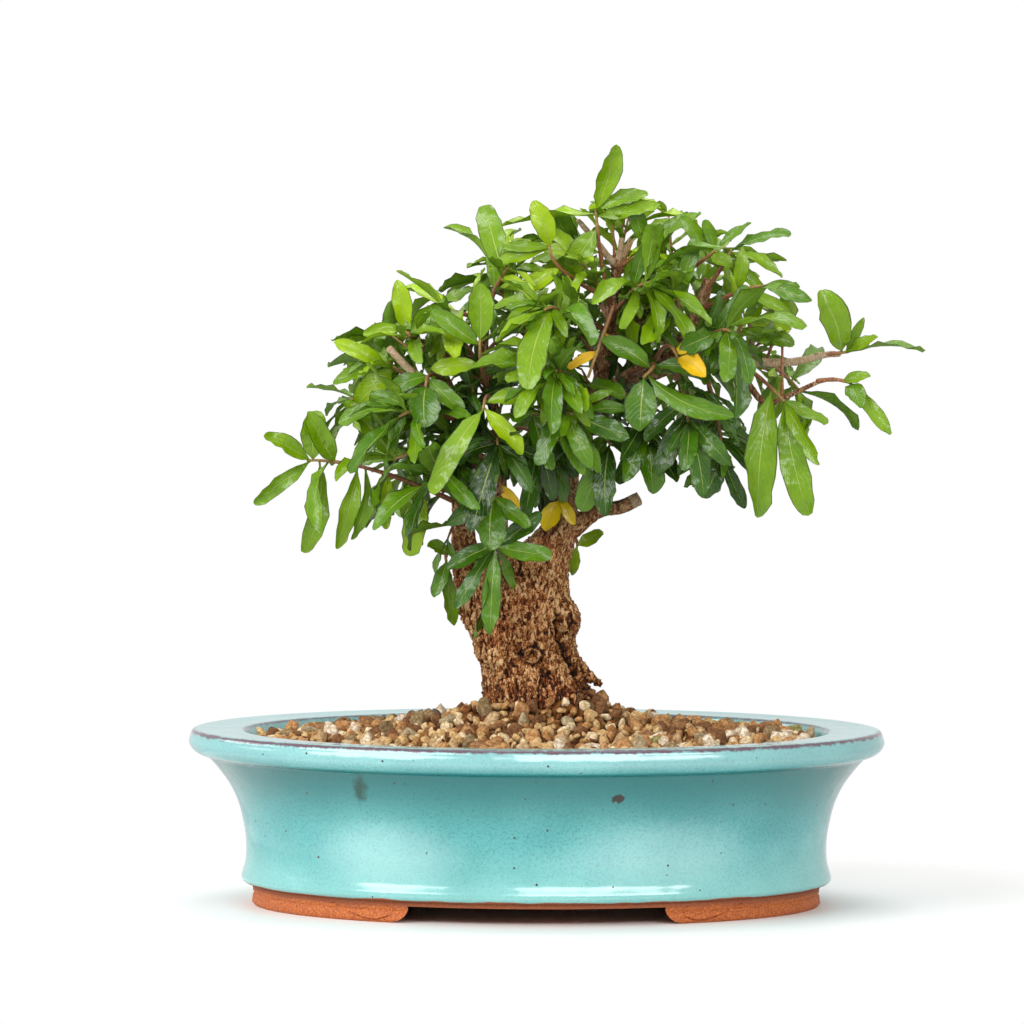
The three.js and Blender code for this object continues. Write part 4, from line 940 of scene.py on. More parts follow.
@dataclass
class BrokenGrain:
    """One crushed grain: a few flat broken faces, whose edges may be worn round."""

    corners: int = 12
    shapes: int = 9
    stray: float = 0.36
    wear: float = 0.12

    def shape(self, name: str, seed: int, worn: bool) -> Piece:
        """One grain, about 2 across.

        Args:
            name: the object's name.
            seed: what its corners are drawn from.
            worn: whether its edges are worn round.

        Returns:
            The grain, in no scene.
        """
        draws = Draws(seed)
        grain = bmesh.new()
        for corner in range(self.corners):
            # Evenly over a ball, then strayed
            height = 1 - (2 * corner + 1) / self.corners
            angle = corner * math.pi * (3 - math.sqrt(5))
            level = math.sqrt(1 - height * height)
            spot = Vector((level * math.cos(angle), level * math.sin(angle), height))
            grain.verts.new(spot + Vector([draws.between(-self.stray, self.stray) for _ in range(3)]))
        hull = bmesh.ops.convex_hull(grain, input=grain.verts[:])
        bmesh.ops.delete(
            grain, geom=[part for part in hull["geom_interior"] if part.is_valid], context="VERTS"
        )
        if worn:
            bmesh.ops.bevel(
                grain, geom=grain.edges[:], offset=self.wear, segments=1, affect="EDGES", clamp_overlap=True
            )
        bmesh.ops.recalc_face_normals(grain, faces=grain.faces[:])
        mesh = bpy.data.meshes.new(name)
        grain.to_mesh(mesh)
        grain.free()
        if worn:
            mesh.shade_smooth()
        return bpy.data.objects.new(name, mesh)

    def variants(self, worn: bool) -> bpy.types.Collection:
        """Several grains to pick from, in a collection of their own."""
        shapes = bpy.data.collections.new("grain_shapes")
        for seed in range(1, self.shapes + 1):
            shapes.objects.link(self.shape(f"grain_{seed}", seed, worn))
        return shapes


@dataclass(frozen=True)
class GrainLayer:
    """One layer of loose grains: height of their middles over the mound, least distance between two of them,
    smallest and largest half size, whether their edges are worn round, and what they are made of."""

    name: str
    lift: float
    pitch: float
    sizes: Pair
    seed: int
    worn: bool
    finish: Finish


@dataclass
class GravelTopping:
    """The loose grains on top of the soil, scattered by Geometry Nodes in two layers."""

    mound: Mound = field(default_factory=Mound)
    reach: float = 103.6
    rings: int = 26
    sides: int = 96
    layers: tuple[GrainLayer, ...] = (
        GrainLayer("gravel_lower", 0.4, 3.1, (1.5, 2.6), 11, False, SHADED_GRAVEL),
        GrainLayer("gravel_upper", 1.9, 4.6, (1.5, 4.2), 12, True, GRAVEL),
    )
    flatness: float = 0.72  # a grain's third axis is often the short one
    longest: float = 1.15  # first axis of the largest grains
    least_odd: Spot = (0.8, 0.8, 0.75)  # how far a grain's axes stray
    most_odd: Spot = (1.25, 1.15, 1.1)
    small_share: float = 1.7  # over 1 makes small grains the commonest
    most: float = 4.0e5  # grains to a square metre, before their distance thins them
    full_turn: float = 6.283
    trunk_room: float = 12.0
    grain: BrokenGrain = field(default_factory=BrokenGrain)

    def ground(self, name: str, lift: float) -> Piece:
        """An open oval sheet over the mound, for the grains to be scattered on.

        Args:
            name: the object's name.
            lift: height over the mound.

        Returns:
            The sheet.
        """
        points = []
        for ring in range(self.rings + 1):
            share = ring / self.rings
            for side in range(self.sides):
                angle = 2 * math.pi * side / self.sides
                radius = self.trunk_room + (self.reach - self.trunk_room) * share
                x = self.mound.middle_x * (1 - share) + radius * math.cos(angle)
                depth = self.trunk_room + (self.reach * self.mound.oval - self.trunk_room) * share
                y = depth * math.sin(angle)
                points.append([x, y, self.mound.height(x, y) + lift])
        faces = loft_faces(self.rings + 1, self.sides)
        return mesh_object(name, np.array(points), [face[::-1] for face in faces])

    def scatter_tree(self) -> tuple[bpy.types.NodeTree, dict[str, str]]:
        """The tree that scatters grains over a sheet.

        Returns:
            The tree, and the socket identifier of each named input.
        """
        tree = bpy.data.node_groups.new("scatter_grains", "GeometryNodeTree")
        add = partial(add_node, tree)
        sockets = {}
        for name, kind in (
            ("Ground", "Geometry"), ("Shapes", "Collection"), ("Spacing", "Float"), ("Smallest", "Vector"),
            ("Largest", "Vector"), ("Seed", "Int"), ("Finish", "Material"),
        ):
            socket = tree.interface.new_socket(name, in_out="INPUT", socket_type=f"NodeSocket{kind}")
            sockets[name] = socket.identifier
        tree.interface.new_socket("Grains", in_out="OUTPUT", socket_type="NodeSocketGeometry")
        given = add("NodeGroupInput").node.outputs
        seed = given["Seed"]
        spots = add(
            "GeometryNodeDistributePointsOnFaces",
            {
                "Mesh": given["Ground"], "Distance Min": given["Spacing"], "Density Max": self.most,
                "Seed": seed,
            },
            distribute_method="POISSON",
        )
        turn = add(
            "FunctionNodeRandomValue", {1: [self.full_turn] * 3, "Seed": seed}, data_type="FLOAT_VECTOR"
        )
        chance = add("FunctionNodeRandomValue", {"Seed": seed}, data_type="FLOAT")
        share = add("Math POWER", [chance, self.small_share])
        size = add("Mix", {0: share, 4: given["Smallest"], 5: given["Largest"]}, data_type="VECTOR")
        odd = add(
            "FunctionNodeRandomValue", {0: self.least_odd, 1: self.most_odd, "Seed": seed},
            data_type="FLOAT_VECTOR",
        )
        shapes = add(
            "GeometryNodeCollectionInfo",
            {"Collection": given["Shapes"], "Separate Children": True, "Reset Children": True},
        )
        pick = add("FunctionNodeRandomValue", {4: 0, 5: 99, "Seed": seed}, data_type="INT")
        grains = add(
            "GeometryNodeInstanceOnPoints",
            {
                "Points": spots, "Instance": shapes, "Pick Instance": True, "Instance Index": pick,
                "Rotation": turn, "Scale": add("VectorMath MULTIPLY", [size, odd]),
            },
        )
        tone = add("FunctionNodeRandomValue", {"Seed": seed}, data_type="FLOAT")
        named = add(
            "GeometryNodeStoreNamedAttribute", {"Geometry": grains, "Name": "grain_tone", "Value": tone},
            data_type="FLOAT", domain="INSTANCE",
        )
        real = add("GeometryNodeRealizeInstances", [named])
        add(
            "NodeGroupOutput",
            [add("GeometryNodeSetMaterial", {"Geometry": real, "Material": given["Finish"]})],
        )
        return tree, sockets

    def scattered(self, layer: GrainLayer) -> Piece:
        """One layer of grains as a plain mesh.

        Args:
            layer: the layer.

        Returns:
            The mesh, not yet dressed.
        """
        piece = self.ground(layer.name, layer.lift)
        shapes = self.grain.variants(layer.worn)
        tree, sockets = self.scatter_tree()
        modifier = piece.modifiers.new("Grains", "NODES")
        modifier.node_group = tree
        smallest, largest = (size * MM for size in layer.sizes)
        for key, value in (
            ("Shapes", shapes), ("Spacing", layer.pitch * MM),
            ("Smallest", [smallest, smallest, self.flatness * smallest]),
            ("Largest", [self.longest * largest, largest, self.flatness * largest]), ("Seed", layer.seed),
            ("Finish", layer.finish.material()),
        ):
            modifier[sockets[key]] = value
        baked(piece)
        for shape in list(shapes.objects):
            bpy.data.meshes.remove(shape.data)
        bpy.data.collections.remove(shapes)
        return piece

    def build(self) -> None:
        """Builds the layers and dresses them."""
        for layer in self.layers:
            dress(self.scattered(layer), "gravel", [layer.finish], "soil")


@dataclass
class SoilBody:
    """The block of soil that fills the pot under the grains."""

    mound: Mound = field(default_factory=Mound)
    sides: int = 96
    rings: int = 20
    sunk: float = 1.0  # under the joints between the grains
    wobble: float = 0.8
    side_profile: tuple[Pair, ...] = ((0.0, 13.35), (94.4, 13.35), (99.6, 17.2), (106.0, 57.5))

    def build(self) -> None:
        """Builds the block and dresses it."""
        angles = [2 * math.pi * side / self.sides for side in range(self.sides)]
        rim = self.side_profile[-1][0]
        rings = [[[r * math.cos(a), r * self.mound.oval * math.sin(a), z] for a in angles]
                 for r, z in self.side_profile[1:]]
        for step in range(self.rings, 0, -1):
            radius = rim * step / self.rings
            ring = []
            for angle in angles:
                x, y = radius * math.cos(angle), radius * self.mound.oval * math.sin(angle)
                wobble = self.wobble * noise.noise(Vector((x / 6, y / 6, 3.0)))
                ring.append([x, y, self.mound.height(x, y) - self.sunk + wobble])
            rings.append(ring)
        ends = (0, 0, self.side_profile[0][1]), (0, 0, self.mound.height(0, 0) - self.sunk)
        piece = mesh_object("soil_body", *closed_loft(rings, *ends))
        dress(piece, "gravel", [SOIL], "soil")


# ----------------------------------------------------- trunk

EYE = np.array([0.0, -3000.0, 302.7])


def place(spot: Sequence[float]) -> Array:
    """The point at depth y that an eye in front sees at x, z of the upright plane through the trunk."""
    x, y, z = spot
    return EYE + (np.array([x, 0.0, z]) - EYE) * (y - EYE[1]) / -EYE[1]


# The stump, from its root stock in the soil to where the leader leaves it:
# height, left edge, right edge, half depth.
STUMP_ROWS = (
    (36, -9, 12, 9), (60, -14, 17, 13), (72, -18.5, 21.5, 17), (77.5, -19.5, 22.5, 18),
    (82, -19.6, 19.5, 17), (89, -21, 16, 16), (93, -23.4, 14.8, 16), (98, -24, 13.8, 16),
    (106, -28, 14, 16.5), (110, -29.3, 14.8, 17), (114, -30.3, 13, 17), (119, -30.5, 12.3, 16.5),
    (124, -28.5, 12, 15), (128, -21, 12.3, 13), (133, -9, 13, 10), (139, -1, 14.3, 8.5), (146, 5, 15, 6),
)

# Limbs, stubs and dead twigs: a route of x, depth, z, radius.
LIMBS = {
    "leader": (
        (7, 0, 134, 7), (10.8, 0, 148, 4.3), (12.4, 2, 164, 3.4), (15, 2, 177, 3.1), (22, 0, 192, 2.9),
        (26, -3, 211, 2.5), (28, -5, 228, 2.2), (29.5, -8, 240, 2),
    ),
    "leader_tip_left": ((29, -8, 238, 1.6), (30.3, -9, 244, 1.3), (31.2, -10, 249.2, 1.0)),
    "leader_tip_right": ((29, -8, 237, 1.6), (32.4, -8, 243, 1.2), (34.4, -8, 249, 0.9)),
    "split_stub": ((29, -8, 238, 1.5), (22, -10, 247, 1.3), (14.4, -12, 256, 1.0)),
    "left_branch": (
        (-23, -2, 114, 7.5), (-27, -2, 130, 5.2), (-28, -3, 148, 4), (-29, -4, 160, 3.6),
        (-29.3, -4, 168, 3.8),
    ),
    "left_limb": (
        (-28, -3, 154, 3), (-23, -6, 172, 2.6), (-30, -12, 186, 2.3), (-38.6, -20, 204.5, 1.7),
        (-43.4, -22, 210.8, 1.2),
    ),
    "left_limb_fork": ((-37, -19, 201, 1.5), (-33, -21, 207, 1.2), (-30, -22, 211.8, 1.0)),
    "pale_left_stub": ((-30, -12, 187, 1.7), (-42, -30, 193.7, 1.5), (-56, -36, 208, 1.5)),
    "inner_stem": (
        (-12, 3, 118, 6), (-13.5, 4, 136, 3.2), (-14, 3, 155, 2.7), (-14, 0, 172, 2.4), (-17, -6, 188, 2.1),
        (-20, -10, 205, 1.7), (-19, -12, 222, 1.3),
    ),
    "back_limb": ((13, 2, 172, 2.6), (9, 18, 188, 2.3), (2, 36, 203, 1.8), (-6, 46, 216, 1.3)),
    "back_left_limb": ((-13.8, 3, 158, 2.4), (-28, 18, 172, 2.2), (-46, 30, 184, 1.7), (-60, 36, 190, 1.3)),
    "back_right_limb": ((22, 0, 190, 2.5), (38, 20, 196, 2.2), (56, 36, 202, 1.8), (74, 44, 204, 1.3)),
    "right_limb": (
        (20, 0, 188, 2.9), (38, -8, 200, 2.6), (56, -12, 206.5, 2.4), (75, -11, 203.5, 2),
        (94, -13, 203, 1.6), (107, -15, 205.8, 1.3), (113, -15, 206, 1.1),
    ),
    "dry_upright_twig": ((80, -12, 203.5, 1.5), (79.6, -13, 211, 1.1), (78.6, -14, 218.3, 0.9)),
    "lower_right_twig": (
        (72, -11, 204, 1.6), (84, -18, 188, 1.3), (91, -22, 189.5, 1.1), (106.5, -24, 196.6, 0.9)
    ),
    "upper_right_limb": (
        (26, -3, 208, 2.2), (40, -7, 222, 2.0), (51.7, -11, 236.4, 1.5), (62, -14, 250, 1.2)
    ),
    "dark_stub": ((50, -11, 204, 2.4), (60, -16, 223.5, 2.3), (63.6, -17, 234, 2.1)),
    "cut_branch": ((12, 0, 140, 4.2), (22.5, -2, 147, 2.8), (31, -3, 148.7, 2.7), (38.2, -4, 152, 2.6)),
    "root_spur": ((14, -3, 91, 3), (19.5, -4, 85, 2.2), (24.6, -5, 81.8, 0.8)),
}

# How far along each dead stub the wood is bleached, from this share of its route on.
DEAD_FROM = {
    "split_stub": 0.1, "pale_left_stub": 0.1, "dry_upright_twig": 0.15, "cut_branch": 0.86,
    "leader_tip_left": 0.3, "leader_tip_right": 0.4, "left_limb_fork": 0.6, "right_limb": 0.52,
    "upper_right_limb": 0.45,
}

# Callused places that stand out of the wood: centre and half sizes.
KNOBS = (
    ((-29.3, -4, 167), (4.2, 4, 4)), ((11.6, -4, 106.5), (4.6, 7, 7)), ((-1.7, -14.5, 94), (3.4, 3, 3.4)),
    ((-18, -8, 121), (6, 6, 5)), ((29.4, -8, 240), (3, 2.6, 3.4)),
)


@dataclass
class Trunk:
    """The stump with its limbs, stubs and dead twigs, which grew as one piece of wood."""

    sides: int = 40
    limb_sides: int = 14
    fluting: float = 0.9
    fluted_from: float = 74.0
    voxel: float = 0.62
    flake: float = 1.45
    crack: float = 0.9
    ring_knot: Spot = (-1.7, 94.1, 2.3)
    ring_width: float = 0.6
    moat: float = 1.3  # how far round the ring the wood sinks
    cleft_depth: float = 3.4
    cleft_width: float = 1.25
    limbs_from: Pair = (126.0, 150.0)  # heights from which wood near a limb, and all wood, is a limb's
    darkening: tuple[float, Pair] = (0.17, (76.0, 92.0))  # how much darker the foot is, and where that ends
    young_heights: Pair = (124.0, 158.0)
    cleft: tuple[Spot, ...] = (
        (7.6, -15.4, 106), (8.4, -15.2, 101), (11, -14.4, 95), (14.2, -13.4, 87.5), (17.5, -12, 81),
        (18.6, -11.4, 76),
    )

    def stump(self) -> Shape:
        """Points and faces of the closed stump."""
        rings = []
        for z, left, right, half_depth in catmull(np.array(STUMP_ROWS, dtype=float), 3):
            ring = []
            for side in range(self.sides):
                angle = 2 * math.pi * side / self.sides
                fluting = self.fluting * (math.sin(5 * angle + z / 7) + 0.6 * math.sin(9 * angle - z / 4))
                fluting *= z > self.fluted_from
                x = (left + right) / 2 + math.cos(angle) * ((right - left) / 2 + fluting * 0.6)
                ring.append([x, math.sin(angle) * (half_depth + fluting), z])
            rings.append(ring)
        (foot, foot_left, foot_right, _), (top, top_left, top_right, _) = STUMP_ROWS[0], STUMP_ROWS[-1]
        return closed_loft(
            rings, ((foot_left + foot_right) / 2, 0, foot), ((top_left + top_right) / 2, 0, top)
        )

    def limb_rows(self, name: str) -> Array:
        """The smooth route of a limb as rows of x, y, z, radius."""
        route = LIMBS[name]
        rows = np.array([[*place(row[:3]), row[3]] for row in route])
        return catmull(rows, 8)

    def knob(self, centre: Sequence[float], half_sizes: Sequence[float]) -> Shape:
        """Points and faces of a callused place."""
        angles = np.linspace(0, math.pi, 12)
        middle = place(centre)
        route = np.array([[middle[0], middle[1], middle[2] - math.cos(a) * half_sizes[2]] for a in angles])
        points, faces = rod(route, np.maximum(np.sin(angles), 0.02), 16)
        points[:, :2] = middle[:2] + (points[:, :2] - middle[:2]) * np.array(half_sizes[:2])
        return points, faces

    def fused(self) -> Piece:
        """Stump, limbs and knobs fused into one even mesh."""
        shapes = [self.stump()]
        for name in LIMBS:
            rows = self.limb_rows(name)
            shapes.append(rod(rows[:, :3], rows[:, 3], self.limb_sides))
        shapes += [self.knob(centre, halves) for centre, halves in KNOBS]
        points, faces = [], []
        for shape_points, shape_faces in shapes:
            base = sum(len(part) for part in points)
            points.append(shape_points)
            faces += [tuple(base + corner for corner in face) for face in shape_faces]
        piece = mesh_object("trunk_and_limbs", np.vstack(points), faces)
        fuse = piece.modifiers.new("Fuse", "REMESH")
        fuse.mode = "VOXEL"
        fuse.voxel_size = self.voxel * MM
        soften = piece.modifiers.new("Soften", "SMOOTH")
        soften.factor = 0.5
        soften.iterations = 2
        return baked(piece)

    def carve(self, piece: Piece) -> None:
        """Raises the flakes, sinks the cracks, the cleft and the ring knot, and notes them for the finish.

        Args:
            piece: the fused wood.
        """
        limb_tree = KDTree(sum(len(self.limb_rows(name)) for name in LIMBS))
        thickness, dead_share = [], []
        for name in LIMBS:
            rows = self.limb_rows(name)
            dead_from = DEAD_FROM.get(name)
            for index, row in enumerate(rows):
                share = index / (len(rows) - 1)
                limb_tree.insert(row[:3], len(thickness))
                thickness.append(row[3])
                dead_share.append(0.0 if dead_from is None else float(share >= dead_from))
        limb_tree.balance()

        mesh = piece.data
        count = len(mesh.vertices)
        co, normals = np.empty((2, count * 3))
        mesh.vertices.foreach_get("co", co)
        mesh.vertices.foreach_get("normal", normals)
        co = (co.reshape(-1, 3) - POT_MIDDLE) / MM
        normals = normals.reshape(-1, 3)
        cleft = catmull(np.array(self.cleft), 6)
        knot_x, knot_z, knot_radius = self.ring_knot

        stand, dead, young, push = np.zeros((4, count))
        for index in range(count):
            x, y, z = co[index]
            _, nearest, away = limb_tree.find((x, y, z))
            radius = thickness[nearest]
            on_limb = away < radius * 1.7 + 0.6 and z > self.limbs_from[0] or z > self.limbs_from[1]
            scale = min(1.0, radius / 9) if on_limb else 1.0
            twist = z * 0.16
            flow = Vector(((x + twist) / 1.6, y / 1.6, (z - 0.3 * x) / 4.4))
            ridges = 1 - 2 * abs(noise.noise(flow))
            flakes = noise.noise(Vector((x / 1.2, y / 1.2, z / 1.7)) + Vector((7.1, 3.3, 1.7)))
            lumps = noise.noise(Vector((x / 7.5, y / 7.5, z / 9.0)))
            chips = noise.voronoi(Vector((x / 1.8, y / 1.8, z / 2.4)), distance_metric="DISTANCE")[0]
            edges = min(1.0, (chips[1] - chips[0]) * 3.2)
            relief = 0.5 * (ridges - 0.4) + 0.32 * flakes + 0.4 * (edges - 0.75) + 0.4 * lumps
            amount = self.flake * relief * scale
            if on_limb:
                amount *= 0.75
                dead[index] = dead_share[nearest]
            cracks = noise.noise(Vector((x / 4.2 + 9.0, y / 4.2, z / 15.0)))
            sunk = math.exp(-((cracks / 0.055) ** 2)) * (0.0 if on_limb else self.crack)
            amount -= sunk
            if y < 0 and not on_limb:
                off_cleft = float(np.min(np.hypot(cleft[:, 0] - x, cleft[:, 2] - z)))
                amount -= self.cleft_depth * math.exp(-((off_cleft / self.cleft_width) ** 2))
                sunk += 1.3 * math.exp(-((off_cleft / 1.1) ** 2))
                off_knot = math.hypot(x - knot_x, z - knot_z)
                ring = math.exp(-(((off_knot - knot_radius) / self.ring_width) ** 2))
                moat = math.exp(-(((off_knot - knot_radius - self.moat) / self.ring_width) ** 2))
                hollow = math.exp(-((off_knot / 0.9) ** 2))
                amount = amount * (1 - 0.8 * ring) + 0.9 * ring - 0.7 * moat - 0.6 * hollow
                sunk += 1.0 * moat - 0.4 * ring
            darkening = self.darkening[0] * (1 - smooth_step(*self.darkening[1], z))
            push[index] = amount
            young[index] = smooth_step(*self.young_heights, z) * (0.85 if on_limb else 0.25)
            shown = relief * (0.5 if on_limb else 1.0)
            stand[index] = min(1.0, max(0.0, 0.585 - darkening + 0.42 * shown - 0.42 * sunk))
        mesh.vertices.foreach_set("co", to_frame(co + normals * push[:, None]).ravel())
        mesh.update()
        mesh.shade_smooth()
        for name, values in (("bark_stand", stand), ("dead_wood", dead), ("limb_bark", young)):
            store(piece, name, values)

    def build(self) -> None:
        """Builds the wood and dresses it."""
        piece = self.fused()
        self.carve(piece)
        dress(piece, "bark", [BARK], "trunk")


# --------------------------------------------------- foliage


class Side(Enum):
    """The two faces of a blade."""

    UPPER = 0.0
    UNDER = 1.0


@dataclass(frozen=True)
class Shoot:
    """One green shoot as the solids have it.

    route is its start, middle and end as x, depth, z; leaves are place along it, tip x, tip z and the width
    seen from the front; pairs and length are for the leaves that it bears by rule; age runs from 0, fresh and
    bright, to 1, old and dark.
    """

    route: tuple[Spot, ...]
    age: float
    leaves: tuple[tuple[float, float, float, float], ...] = ()
    pairs: int = 0
    length: float = 27.0


